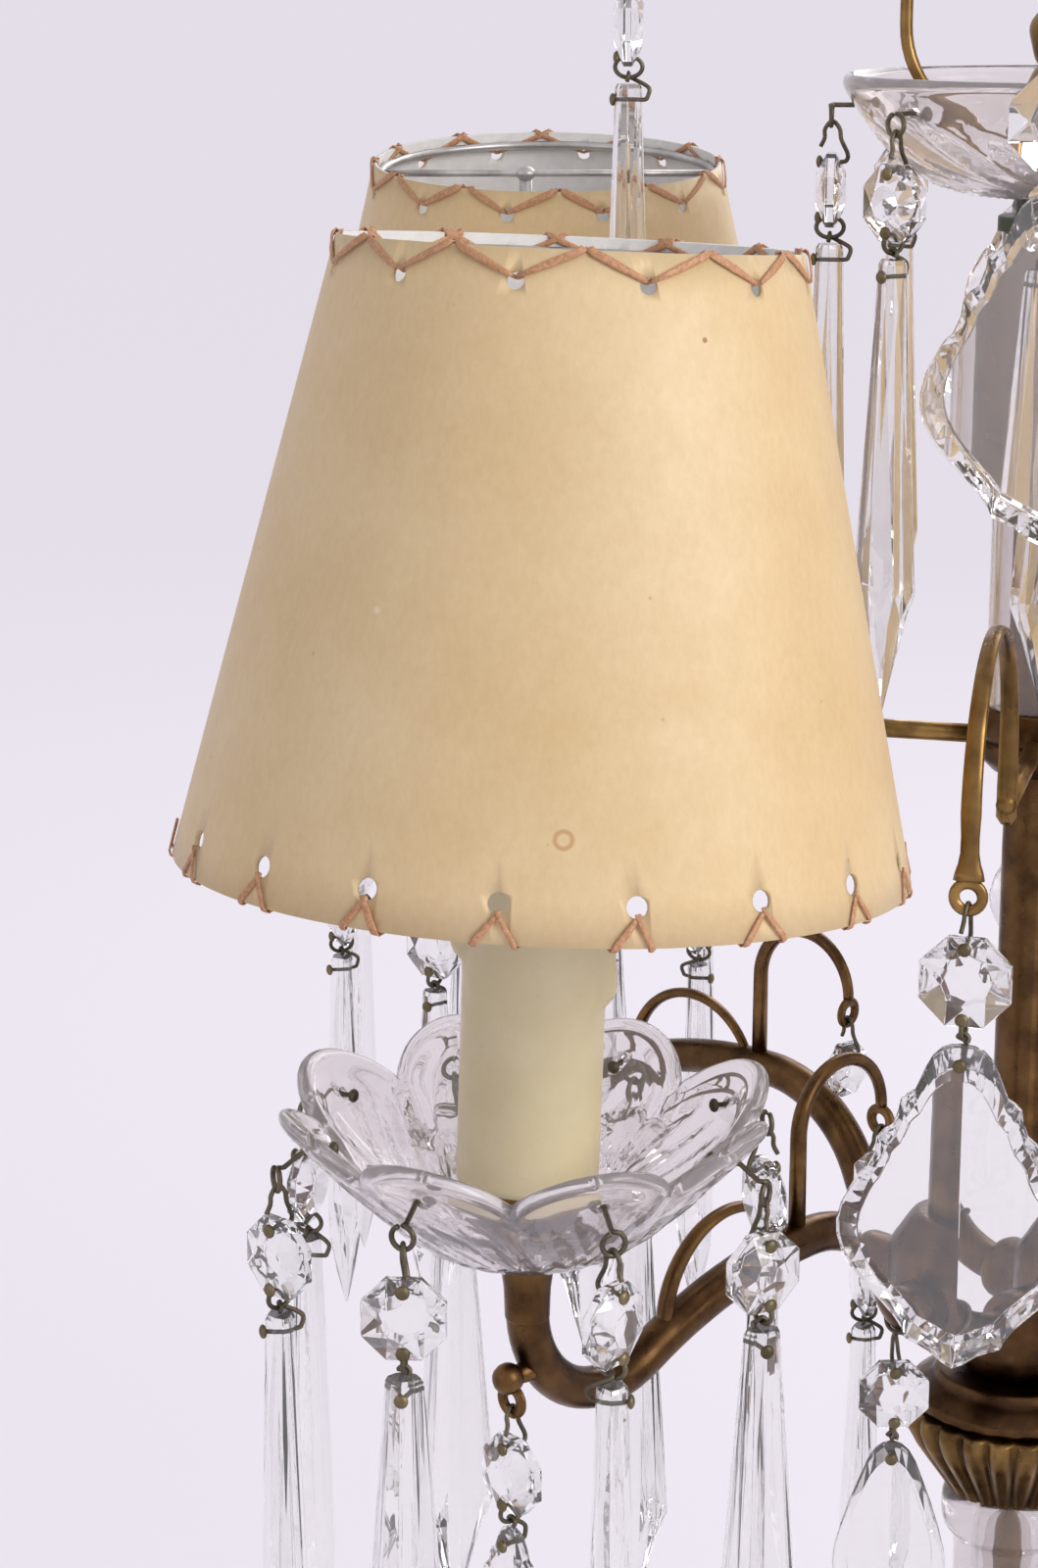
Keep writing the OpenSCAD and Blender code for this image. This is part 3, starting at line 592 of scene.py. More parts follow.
def fluted(a, r, z):
    """Lobes round the cup's outside. Its bore stays round."""
    depth = 0.085 if r > FLUTED_R else 0.0
    return r * (1 - depth * (1 - abs(cos(FLUTES / 2 * a)) ** 0.7)), z


def stacked(name, node, look, slot, profile, sides=96, shape=None):
    """One turned piece of the column."""
    Form().add(lathe(profile, sides, True, shape)).piece(name, [look], slot, [node])


def lower_column():
    foot_h = STEM_Z - FELT_T
    foot = [(45, 0), (73, 0), (75, 4), (75, 6.4), (69, 8.8), (67, 12), (53, 16), (26, 20), (20, 24),
            (20, foot_h), (BORE_R, foot_h), (BORE_R, 10), (45, 10)]
    stacked("foot_casting", "foot", BROWN, "brown_brass", raised(FELT_T, foot, 1.6))
    stem_h = CUP_Z - STEM_Z
    stem = [(5.2, 0), (17, 0), (17, 5), (10, 12), (9, 28.5), (16, 40.4), (18, 47.5), (16, 54.6), (9, 66.5),
            (12, 95), (12, 114), (15, 117), (15, stem_h), (5.2, stem_h)]
    stacked("stem_glass", "glass_stem", STEM_GLASS, "clear_glass", raised(STEM_Z, stem, 5, 5))
    cup_h = RING_Z - CUP_Z
    cup = [(BORE_R, 0), (14.5, 0), (15.5, 2), (19, 7), (22.8, 12.5), (24.8, 17), (24.6, cup_h),
           (BORE_R, cup_h)]
    stacked("fluted_cup", "fluted_cup", GOLD, "gold_brass", raised(CUP_Z, cup, 1.5), 8 * FLUTES, fluted)
    ring_h = HUB_LOW - RING_Z
    ring = [(BORE_R, 0), (21.5, 0), (23, 1.4), (23, 3), (20, 5), (18, 6), (17, ring_h), (BORE_R, ring_h)]
    stacked("moulded_ring", "turned_ring", BROWN, "brown_brass", raised(RING_Z, ring, 0.7))


def hub():
    """Hub with a socket for each branch."""
    high = HUB_HIGH - HUB_LOW
    core = [(BORE_R, 0), (10, 0), (13.5, 3), (15, 7.5), (15, 28), (13, 31), (10, high), (BORE_R, high)]
    socket = [(4.1, SOCKET_FLOOR), (6.4, SOCKET_FLOOR), (6.6, 15), (7, 20), (7, 22.5), (6.4, SOCKET_R),
              (4.1, SOCKET_R)]
    form = Form().add(lathe(raised(HUB_LOW, core, 1.6)))
    for n in ARMS:
        form.add(lathe(soft(socket, 0.6), 40), branch(n) @ moved(0, 0, HUB_Z) @ turned(90, "Y"))
    form.piece("hub_casting", [BROWN], "brown_brass", ["hub"])


def upper_column():
    pipe = [(BORE_R, HUB_HIGH), (7, HUB_HIGH), (7, WASHER_Z), (BORE_R, WASHER_Z)]
    stacked("column_pipe", "column_tube", BROWN, "brown_brass", soft(pipe, 0.3), 64)
    collar_h = SLEEVE_Z - COLLAR_LOW
    collar = [(7.05, 0), (9.5, 0), (12.5, 3), (12.5, 6), (11.8, 7), (12.5, 8), (12.5, 11), (11.5, collar_h),
              (7.05, collar_h)]
    stacked("collar_turned", "hook_collar", BROWN, "brown_brass", raised(COLLAR_LOW, collar, 0.8), 72)
    sleeve = [(9.5, SLEEVE_Z), (11.5, SLEEVE_Z), (11.5, WASHER_Z), (9.5, WASHER_Z)]
    stacked("sleeve_glass", "glass_sleeve", BOWL_GLASS, "clear_glass", soft(sleeve, 0.5), 72)
    washer_h = DISH_Z - WASHER_Z
    washer = [(BORE_R, 0), (12.5, 0), (12.5, 3), (9, 3), (9, washer_h), (BORE_R, washer_h)]
    stacked("washer_painted", "dish_washer", GREEN, "green_metal", raised(WASHER_Z, washer, 0.5, 3), 72)
    finial = [(3.05, 0), (6, 0), (8, 8), (4, 12.8), (4, 17.6), (9, 25.6), (10, 32), (8, 40), (3.5, 48),
              (5, 52.8), (2.5, 59.2), (0.8, 80), (0.05, 80), (0.05, 9.5), (3.05, 8.3)]
    stacked("finial_turned", "finial", GOLD, "gold_brass", raised(FINIAL_Z, finial, 2.2), 72)


def dish_curve(r):
    share = max(0.0, (r - DISH_BASE_R) / (DISH_R - DISH_BASE_R))
    return DISH_Z + (DISH_H - DISH_WALL) * share ** DISH_POWER


def upper_dish():
    """Deep dish with a plain lip above swirled flutes. Gives the height of its pins."""
    ribs, rows, lip = 22, 22, 8.0
    low, high = [], []
    for k in range(rows + 1):
        r = DISH_BASE_R + (DISH_R - DISH_BASE_R) * k / rows
        low.append((r, dish_curve(r)))
        high.append((r - (0.9 if k == rows else 0), dish_curve(r) + DISH_WALL))
    top = DISH_Z + DISH_H
    rim = [(DISH_R + 0.3, top - 2.0), (DISH_R + 0.2, top - 0.8), (DISH_R - 0.4, top - 0.1)]
    section = [(BORE_R, DISH_Z)] + low + rim + high[::-1] + [(12, BOSS_Z), (BORE_R, BOSS_Z)]

    def ribbed(a, r, z):
        if not DISH_BASE_R + 1 < r < DISH_R - 1 or z - dish_curve(r) > 0.5:
            return r, z
        grow = min(1, (r - DISH_BASE_R - 1) / 6) * min(1, max(0, (top - lip - z) / 3))
        turn = 0.03 * (r - DISH_BASE_R)
        return r, z + 1.5 * grow * abs(sin(ribs / 2 * a + ribs * turn / 2))

    form = Form().add(lathe(section, 12 * ribs, True, ribbed))
    obj = form.piece("dish_glass", [BOWL_GLASS], "clear_glass", ["upper_dish"])
    pin_z = dish_curve(DISH_HOLE_R) + DISH_WALL / 2
    drilled(obj, DISH_HOLE_R, pin_z, 7, [dish(k) for k in range(DISH_DROPS)])
    return pin_z


def crown_wires():
    """Boss in the dish, and arched wires that each end in an eye."""
    boss_h = FINIAL_Z - BOSS_Z
    boss = [(BORE_R, 0), (9, 0), (10, 4), (10, 14), (6, boss_h), (BORE_R, boss_h)]
    form = Form().add(lathe(raised(BOSS_Z, boss, 1.0), 72))
    start_x, start_z = 12, BOSS_Z + 10
    bend = CROWN_IN_R - start_x
    out = (CROWN_R - CROWN_IN_R) / 2
    for n in range(1, CROWNS + 1):
        eye_z = CROWN_EYE_Z[n % 2]
        path = [(4.2, 0, start_z)] + arc(start_x, start_z + bend, bend, -90, 0, 14)
        path += arc(CROWN_IN_R + out, CROWN_TOP - out, out, 180, 0, 28)
        path += [(CROWN_R, 0, eye_z + 6), (CROWN_R, 0, eye_z + 3.2)]
        form.add(tube(path, CROWN_WIRE_R), crown(n))
        form.add(eye_plate(CROWN_R, eye_z), crown(n))
    form.piece("crown_wires", [GOLD], "gold_brass", ["crown"])


def swan_hooks():
    """Straight bars from the collar, each with a tapered strip that arches over to an eye."""
    form = Form()
    r = (HOOK_R - HOOK_BAR_R) / 2
    steps = 32
    path = [(HOOK_BAR_R, 0, COLLAR_Z + up) for up in (-4, -2.5, 4)]
    path += arc(HOOK_BAR_R + r, COLLAR_Z + HOOK_LEG, r, 180, 0, steps)
    path += [(HOOK_R, 0, COLLAR_Z + up) for up in (8, 5, 3, 1.5, 0)]
    widths = [1.0, 2.0, 2.0]
    widths += [1.9 - 0.3 * sin(pi * k / steps) for k in range(steps + 1)]
    widths += [1.7, 1.75, 2.1, 2.6, 2.9]
    for n in range(1, HOOKS + 1):
        form.add(tube([(8.2, 0, COLLAR_Z), (HOOK_BAR_R + 1, 0, COLLAR_Z)], 2.0, 16), hook(n))
        form.add(tube(path, widths, 14, False, 0.5, (1, 0, 0)), hook(n))
        form.add(eye_plate(HOOK_R, HOOK_EYE_Z), hook(n))
    form.piece("swan_hooks", [GOLD], "gold_brass", ["mid_hooks"])


def eye_plate(x, z):
    """Flattened end of a strip, with a round hole along X."""
    section = [(0.6, 1.6), (-0.6, 1.6), (-0.6, 3.1), (-0.25, 3.55), (0.25, 3.55), (0.6, 3.1)]
    rings = []
    for a in around(28):
        rings.append([(x + u, v * cos(a), z + v * sin(a)) for u, v in section])
    return band(rings, True)


# Branches


def branch_path():
    """Middle line of a branch: up over the hump, down through the trough and up to the candle."""
    rise = 2 * atan((HUMP_Z - HUB_Z) / (HUMP_R - SOCKET_R))
    total = (HUMP_R - SOCKET_R) / sin(rise)
    low = 0.43 * total
    high = total - low
    fall = 2 * atan((HUMP_Z - TROUGH_Z) / (TROUGH_R - HUMP_R))
    fall_r = (TROUGH_R - HUMP_R) / sin(fall) - BEND_R
    rise, fall = degrees(rise), degrees(fall)
    path = [(SOCKET_FLOOR + 1, 0, HUB_Z)] + arc(SOCKET_R, HUB_Z + low, low, -90, rise - 90, 14)
    path += arc(HUMP_R, HUMP_Z - high, high, 90 + rise, 90, 14)[1:]
    path += arc(HUMP_R, HUMP_Z - fall_r, fall_r, 90, 90 - fall, 14)[1:]
    path += arc(TROUGH_R, TROUGH_Z + BEND_R, BEND_R, -90 - fall, 0, 22)[1:]
    return path + [(BRANCH_R, 0, SEAT_Z)]


def one_branch(n):
    """S-shaped tube with its candle rod, stud and two scroll wires."""
    at = branch(n)
    form = Form().add(tube(branch_path(), TUBE_R, 28, False, 1.0, (0, 0, 1)), at)
    rod = [(0.2, SEAT_Z - 14), (BORE_R, SEAT_Z - 14), (BORE_R, SEAT_Z + 30), (0.2, SEAT_Z + 30)]
    form.add(lathe(soft(rod, 0.3), 24), candle(n))
    neck = [(BORE_R, -12), (4.15, -12), (4.35, -6), (5.2, 0), (BORE_R, 0)]
    form.add(lathe(raised(SEAT_Z, neck, 0.5, 3), 40), candle(n))
    turn = radians(STUD_TURN)
    x = TROUGH_R + BEND_R * cos(turn)
    z = TROUGH_Z + BEND_R + BEND_R * sin(turn)
    form.add(tube([(x, 0, z), (x + STUD_L, 0, z)], [2.6, 1.5], 16), at)
    form.add(ball(x + STUD_L, z, 3.0), at)
    form.add(eye_plate(*STUD_EYE), at)
    steps = 30
    scroll = arc(HUMP_R + 24, HUMP_Z - 6, SCROLL_R, -2, 155, steps)
    form.add(tube(scroll, [1.9 - 0.7 * s / steps for s in range(steps + 1)], 12, False, 0.75), at)
    loop = [(LOOP_X + LOOP_R, 0, HUMP_Z + 1)] + arc(LOOP_X, LOOP_Z, LOOP_R, 0, 180, steps)
    form.add(tube(loop, [1.8] + [1.7 - 0.5 * s / steps for s in range(steps + 1)]), at)
    form.add(eye_plate(*LOOP_EYE), at)
    form.piece(f"branch_{n}", [BROWN], "brown_brass", [f"arm_{n}"])


def candle_fittings():
    """Candle cups, drip pans and bulbs: each kind is one piece."""
    bore = 3.25
    cup = soft([(bore, BOWL_FLOOR), (9.5, BOWL_FLOOR), (8.2, BOWL_FLOOR + 2.5), (10.5, BOWL_FLOOR + 5.5),
                (12.5, BOWL_FLOOR + 8), (12.5, CANDLE_Z), (11.45, CANDLE_Z), (11.45, CANDLE_Z + 3),
                (bore, CANDLE_Z + 3)], 0.6, 4)
    pan = soft([(bore, SEAT_Z), (6, SEAT_Z), (10, SEAT_Z + 1), (13.6, SEAT_Z + 2.3), (14, BOWL_Z),
                (bore, BOWL_Z)], 0.5)
    cap = [(0.05, -58), (7, -58), (7, -33.8), (9.5, -33.6), (9.5, -22)]
    bulb = [(r, BULB_Z + up) for r, up in cap]
    for turn in range(-58, 90, 4):
        b = radians(turn)
        bulb.append((BULB_R * cos(b), BULB_Z + BULB_R * sin(b)))
    bulb.append((0.05, BULB_Z + BULB_R))
    for name, node, look, slot, profile, sides, closed in (
            ("candle_cups_turned", "candle_cups", GOLD, "gold_brass", cup, 72, True),
            ("drip_pans_turned", "drip_cups", GOLD, "gold_brass", pan, 72, True),
            ("round_bulbs", "bulbs", BULB, "bulb_glass", bulb, 48, False)):
        form = Form()
        for n in ARMS:
            form.add(lathe(profile, sides, closed), candle(n))
        form.piece(name, [look], slot, [node])


# Wax drips: turn in degrees, length, width

DRIPS = [(20, 22, 5), (62, 34, 6), (122, 48, 6), (170, 28, 6), (215, 38, 5), (262, 18, 6), (318, 41, 5)]


def candle_sleeve(n):
    """Cream sleeve with wax that ran down from its top and froze in drops."""
    sides, rows = 180, 84

    def run(a, z):
        bulge = 0.0
        for at, length, width in DRIPS:
            off = (degrees(a) - at + 180) % 360 - 180
            side = off * pi / 180 * CANDLE_R / (width * 0.52)
            end = CANDLE_TOP - length
            tip_l = width * 0.55
            if z < end - tip_l or abs(side) > 1.6:
                continue
            across = max(0.0, 1 - (side / 1.25) ** 2)
            tip = 1.0 if z > end else max(0.0, 1 - ((end - z) / tip_l) ** 2)
            drop = 0.85 + 0.45 * exp(-((z - end - 1.0) / (width * 0.7)) ** 2)
            bulge = max(bulge, 1.75 * across ** 0.8 * tip ** 0.6 * drop)
        return bulge

    rings = []
    for k in range(rows + 1):
        z = CANDLE_Z + (CANDLE_TOP - CANDLE_Z) * k / rows
        ring = []
        for a in around(sides):
            r = CANDLE_R + run(a, z) - (0.5 if k == rows else 0)
            ring.append((r * cos(a), r * sin(a), z))
        rings.append(ring)
    rings += [circle(CANDLE_R - CANDLE_WALL, z, sides) for z in (CANDLE_TOP, CANDLE_Z)]
    x, y, _ = candle(n).translation
    tilt = moved(x, y, CANDLE_Z) @ turned(CANDLE_LEAN.get(n, 0), "Y") @ moved(-x, -y, -CANDLE_Z)
    form = Form().add(band(rings, True), tilt @ candle(n))
    form.piece(f"sleeve_{n}", [WAX], "candle_sleeve", [f"candle_{n}"])


def ease(x):
    """0 below 0, 1 above 1, and a soft step between."""
    x = min(1.0, max(0.0, x))
    return x * x * (3 - 2 * x)


def bowl_share(r):
    """How far r lies from the flat of the bobeche's bowl to its rim."""
    return max(0.0, (r - BOBECHE_BASE_R) / (BOBECHE_RIM_R - BOBECHE_BASE_R))


def bowl_curve(r):
    """Height of the middle of the bobeche's wall, along a petal's middle."""
    share = bowl_share(r)
    return BOWL_Z + 1.5 + BOBECHE_H * share ** BOBECHE_POWER - 0.4 * min(1, share * 2)


def bobeche(n):
    """Flower of glass: petals with thick edges, scooped faces and drilled holes, over a swirled bowl."""
    per, rows = 20, 26
    sides = PETALS * per
    half = 180 / PETALS
    petal_x, petal_r = BOBECHE_R * 0.66, BOBECHE_R * 0.34
    bore_r, thick, foot_t = 3.25, 3.3, 3.0
    steep = BOBECHE_H / (BOBECHE_RIM_R - BOBECHE_BASE_R) * BOBECHE_POWER
    ends = [sin(radians(b)) for b in (25, 48, 68, 84)]

    def rim(off):
        f = radians(off)
        return petal_x * cos(f) + sqrt(petal_r ** 2 - (petal_x * sin(f)) ** 2)

    def section(deg):
        off = (deg + half) % (2 * half) - half
        edge = rim(off)
        under, over = [], []
        spots = [(k / rows, 0.0) for k in range(rows + 1)] + [(1.0, u) for u in ends]
        for s, u in spots:
            r = bore_r + (edge - thick / 2 - bore_r) * s ** 0.8 + thick / 2 * u
            share = bowl_share(r)
            if not share:
                under.append((r, BOWL_Z))
                over.append((r, BOWL_FLOOR))
                continue
            slope = atan(steep * share ** (BOBECHE_POWER - 1)) * ease(share * 6)
            z = bowl_curve(r) + 0.5 * (off / half) ** 2 * min(1, share * 2.2)
            t = thick / 2 * sqrt(1 - u * u)
            t = foot_t / 2 + (t - foot_t / 2) * min(1, share * 4)
            aside = radians(half - abs(off)) * r
            scoop = 0.9 * ease((edge - r - 3.0) / 1.6) * ease((aside - 1.2) / 2.0)
            scoop *= ease((share - 0.3) / 0.2)
            wave = sin(radians(2 * PETALS * (deg + 34 * share)))
            flute = 0.75 * (1 - abs(wave)) * ease(share / 0.12) * ease((0.8 - share) / 0.25)
            low, high = t - flute, t - scoop
            under.append((r + low * sin(slope), z - low * cos(slope)))
            over.append((r - high * sin(slope), z + high * cos(slope)))
        return under + over[::-1]

    sections = [section(360 * i / sides) for i in range(sides)]
    turns = [radians(PETAL_TURN + 360 * i / sides) for i in range(sides)]
    rings = []
    for level in zip(*sections):
        rings.append([(r * cos(a), r * sin(a), max(BOWL_Z, z)) for a, (r, z) in zip(turns, level)])
    form = Form().add(band(rings, True), candle(n))
    obj = form.piece(f"petal_glass_{n}", [BOWL_GLASS], "clear_glass", [f"bobeche_{n}"])
    drilled(obj, PIN_HOLE_R, bowl_curve(PIN_HOLE_R), 6, [petal(n, k) for k in range(PETALS)])


# Shades, with their lacing holes: how many, turn of the first in degrees, height, radius

TOP_HOLES = (12, 17.0, SHADE_TOP - 5.2, 1.5)
LOW_HOLES = (18, 13.0, SHADE_Z + 6.4, 1.85)
LACE_T = 0.34
LACE_LIFT = {-1: 0.15, 1: 0.35}


def shade_r(z):
    return SHADE_LOW_R + (SHADE_HIGH_R - SHADE_LOW_R) * (z - SHADE_Z) / (SHADE_TOP - SHADE_Z)


def shade_point(deg, z, out=0.0):
    """A point on the shade's outside, or that far off it, before the shade leans."""
    slope = atan((SHADE_LOW_R - SHADE_HIGH_R) / (SHADE_TOP - SHADE_Z))
    a = radians(FRONT + deg)
    r = shade_r(z) + out * cos(slope)
    return Vector((r * cos(a), r * sin(a), z - BULB_Z + out * sin(slope)))


def shade(n):
    """Parchment cone with a white lining and drilled rims, its lacing and its wires."""
    sides, rows = 144, 14
    body = f"shade_unit_{n}"
    clip_at = leaned(n)
    at = clip_at @ moved(SLIDE.get(n, 0), 0, SHADE_LIFT)
    levels = [SHADE_Z + (SHADE_TOP - SHADE_Z) * k / rows for k in range(rows + 1)]
    rings = [[shade_point(360 * i / sides, z) for i in range(sides)] for z in levels]
    outer = len(rings)
    rings += [[shade_point(360 * i / sides, z, -PAPER) for i in range(sides)] for z in levels[::-1]]
    form = Form().add(band(rings, True), at)
    for face in range((outer - 1) * sides, len(rings) * sides):
        form.slots[face] = 1
    obj = form.piece(f"parchment_{n}", [PARCHMENT, LINING], "parchment", [f"shade_{n}"], body)
    holes = Form()
    for count, turn, z, size in (TOP_HOLES, LOW_HOLES):
        for k in range(count):
            deg = turn + 360 / count * k
            holes.add(tube([shade_point(deg, z, -3), shade_point(deg, z, 3)], size, 14), at)
    carved(obj, holes)
    lacing(n, body, at)
    shade_wires(n, body, at, clip_at)


def strand(start_deg, rim_deg, end_deg, hole_z, rim_z, wide, lift):
    """One lace: from a hole along the outside, over the rim and back along the inside."""
    sign = 1 if rim_z > hole_z else -1
    spots = []
    for t in (0.0, 0.25, 0.5, 0.75, 0.93):
        spots.append((start_deg + (rim_deg - start_deg) * t, hole_z + (rim_z - hole_z) * t, lift + 0.25))
    spots += [(rim_deg, rim_z + sign * 0.25, lift * 0.6), (rim_deg, rim_z + sign * 0.42, -PAPER / 2),
              (rim_deg, rim_z + sign * 0.25, -PAPER - 0.25)]
    for t in (0.2, 0.6, 1.0):
        spots.append((rim_deg + (end_deg - rim_deg) * t, rim_z + (hole_z - rim_z) * t, -PAPER - 0.3))
    points = [shade_point(d, z, o) for d, z, o in spots]
    normals = []
    for d, z, o in spots:
        flat = shade_point(d, z, 1.0) - shade_point(d, z, 0.0)
        if o == -PAPER / 2:
            flat = Vector((0, 0, sign))
        elif o < 0:
            flat = -flat
        normals.append(flat)
    last = len(spots) - 1
    widths = [wide * (0.55 + 0.45 * min(1, i / 2, (last - i) / 2)) for i in range(last + 1)]
    return ribbon(points, normals, widths, LACE_T)


def lacing(n, body, at):
    """Two laces from each hole over the rim, one to either side. No two are quite alike."""
    form = Form()
    for count, turn, hole_z, size in (TOP_HOLES, LOW_HOLES):
        top = hole_z > BULB_Z
        step = 360 / count
        for k in range(count):
            deg = turn + step * k
            for side, lift in LACE_LIFT.items():
                if top:
                    rim = side * step * rng.uniform(0.4, 0.52)
                    wide = rng.uniform(1.05, 1.6)
                    ends, z, rim_z = (0.5, step), hole_z + size * 0.4, SHADE_TOP
                else:
                    rim = side * rng.uniform(2.0, 3.4)
                    wide = rng.uniform(0.85, 1.25)
                    ends, z, rim_z = (-0.4, step * 0.5), hole_z - size * 0.6, SHADE_Z
                start, end = (deg + side * off for off in ends)
                form.add(strand(start, deg + rim, end, z, rim_z, wide, lift), at)
    form.piece(f"lacing_{n}", [RAFFIA], "parchment", body=body)


def shade_wires(n, body, at, clip_at):
    """A wire ring in each rim, a strap across the upper one, and a clip round the bulb."""
    slope = (SHADE_LOW_R - SHADE_HIGH_R) / (SHADE_TOP - SHADE_Z)
    gap = 1.2 + PAPER + 0.15
    low_r, high_r = SHADE_LOW_R - slope * RIM_IN - gap, SHADE_HIGH_R + slope * RIM_IN - gap
    low, high = SHADE_Z + RIM_IN - BULB_Z, SHADE_TOP - RIM_IN - BULB_Z
    form = Form()
    for r, z in ((low_r, low), (high_r, high)):
        form.add(tube(circle(r, z, 90), 1.0, 10, True), at)
    form.add(tube([(-high_r, 0, high), (high_r, 0, high)], 0.8), at)
    clip_r = BULB_R + 0.3 + CLIP_WIRE_R
    form.add(tube([(0, 0, clip_r - 0.5), (0, 0, high + SHADE_LIFT)], 1.5, 14), clip_at)
    form.add(ball(0, high + SHADE_LIFT, 2.4, (1, 1, 0.7)), clip_at)
    for spin in (45, 135):
        form.add(tube(arc(0, 0, clip_r, -10, 190, 40), CLIP_WIRE_R, 10), clip_at @ turned(spin))
    form.piece(f"shade_wires_{n}", [STEEL], "wire", [f"shade_frame_{n}"], body)


# Drops


def bead_hole(d):
    return d / 2 - BEAD_EDGE


def bead_z(d):
    return -EYE_SAG - 2 * LINK_R - bead_hole(d)


def pendant_z(d):
    return bead_z(d) - bead_hole(d) - 2 * LINK_R


def octagon(d):
    """Octagon bead: a small table on each side, with star and corner facets round it."""
    r = d / 2

    def ring(x, s, spin):
        turns = [radians(spin + 45 * i) for i in range(8)]
        return [(x, s * r * sin(a), s * r * cos(a)) for a in turns]

    verts = ring(-BEAD_T / 2, 0.44, 0) + ring(-0.9, 1, 22.5) + ring(0.9, 1, 22.5) + ring(BEAD_T / 2, 0.44, 0)
    faces = [tuple(range(7, -1, -1)), tuple(range(24, 32))]
    for i in range(8):
        j = (i + 1) % 8
        faces += [(i, j, 8 + i), (8 + i, j, 8 + j), (8 + i, 8 + j, 16 + j, 16 + i)]
        faces += [(24 + i, 16 + i, 24 + j), (16 + i, 16 + j, 24 + j)]
    return verts, faces


def spear(length):
    """Spear prism: slim head, ridged belly, waisted point."""

    def ring(z, w, t):
        shape = ((1, 0), (0.62, 0.62), (0, 1), (-0.62, 0.62), (-1, 0), (-0.62, -0.62), (0, -1), (0.62, -0.62))
        return [(p[1] * t / 2, p[0] * w / 2, z) for p in shape]

    rows = [(0, 5.9, 4.6), (-0.9, 6.9, SPEAR_T), (-0.72 * length, PRISM_W, PRISM_W * 0.55),
            (-0.8 * length, PRISM_W * 0.66, PRISM_W * 0.5), (-0.9 * length, PRISM_W * 0.34, PRISM_W * 0.3),
            (-length, 0.6, 0.6)]
    return band([ring(z + HEAD, w, t) for z, w, t in rows[::-1]])


# Right half of a flat drop's outline: shares of its half width and of its height, from the top down

BAROQUE = [(0.09, 0.003), (0.17, 0.015), (0.24, 0.04), (0.29, 0.075), (0.33, 0.11), (0.375, 0.15),
           (0.44, 0.165), (0.49, 0.182), (0.505, 0.215), (0.55, 0.26), (0.62, 0.28), (0.67, 0.302),
           (0.69, 0.35), (0.75, 0.4), (0.8, 0.415), (0.84, 0.435), (0.9, 0.475), (0.96, 0.52),
           (0.995, 0.575), (0.99, 0.62), (0.95, 0.665), (0.88, 0.71), (0.76, 0.76), (0.62, 0.81),
           (0.5, 0.855), (0.425, 0.893), (0.395, 0.922), (0.29, 0.938), (0.19, 0.957), (0.09, 0.985)]
ALMOND = [(0.16, 0.012), (0.3, 0.045), (0.42, 0.1), (0.56, 0.2), (0.72, 0.32), (0.87, 0.45),
          (0.97, 0.56), (1.0, 0.65), (0.96, 0.74), (0.84, 0.83), (0.62, 0.91), (0.32, 0.965)]
DROP_MIDDLE = 0.55


def pendalogue(h, w, outline=BAROQUE):
    """Flat cut drop: bevelled edges round a broad table, and two facets behind that meet in a ridge."""
    half = w * 0.19 / 2
    line = [(0, 0)] + outline + [(0, 1)] + [(-a, b) for a, b in outline[::-1]]
    count = len(line)

    def ring(x, s, even, ridge=0.0):
        points = []
        for i, (a, b) in enumerate(line):
            if even:
                near = [line[(i + o) % count] for o in range(-4, 5)]
                a = a * (1 - even) + even * sum(p[0] for p in near) / len(near)
                b = b * (1 - even) + even * sum(p[1] for p in near) / len(near)
            z = s * (DROP_MIDDLE - b) * h + HEAD - DROP_MIDDLE * h
            points.append((x - ridge * (1 - abs(a)), s * a * w / 2, z))
        return points

    verts, faces = band([ring(-half * 0.36, 0.84, 0.45, half * 0.85), ring(-0.9, 0.97, 0.0),
                         ring(-0.5, 1, 0.0), ring(0.5, 1, 0.0), ring(0.9, 0.97, 0.0),
                         ring(half * 0.62, 0.84, 0.45)])
    back = tuple(range(count - 1, -1, -1))
    bottom = len(outline) + 1
    faces.remove(back)
    faces += [tuple(range(bottom, -1, -1)), (0,) + tuple(range(count - 1, bottom - 1, -1))]
    return verts, faces


def bent(points, steps=5):
    """A smooth line through points."""
    points = [Vector(p) for p in points]
    out = []
    for i in range(len(points) - 1):
        a, b = points[i], points[i + 1]
        before, after = points[max(i - 1, 0)], points[min(i + 2, len(points) - 1)]
        for s in range(steps):
            t = s / steps
            out.append(0.5 * (2 * a + (b - before) * t + (2 * before - 5 * a + 4 * b - after) * t ** 2
                              + (3 * a - before - 3 * b + after) * t ** 3))
    return out + [points[-1]]


def pin_head(x, z, flat=0.55):
    return ball(x, z, PIN_HEAD_R, (flat, 1, 1))


def hanger(form, at, x, z, d, side):
    """Bent pin of a bead under an eye: its head is in front, it comes up behind and hooks over the eye."""
    deep = 2.4
    top, low = z - EYE_SAG - 0.3, z + bead_z(d) + bead_hole(d)
    wide = side * rng.uniform(0.3, 0.7)
    path = [(x + deep, 0, low), (x, 0, low), (x - deep, 0, low), (x - deep - 0.75, 0, low + 0.5),
            (x - deep - 0.8, 0.3 * wide, low + 1.7), (x - 1.9, 0.6 * wide, low + 0.55 * (top - low)),
            (x - 1.5, 0.5 * wide, top - 1.5), (x, 0, top), (x + 1.45, -0.5 * wide, top - 1.6),
            (x + 1.5, -wide, top - 3.4), (x + 2.3, -1.6 * wide, low + 3.0)]
    form.add(tube(bent(path), WIRE_R, 8), at)
    form.add(pin_head(x + deep, low), at, 1)


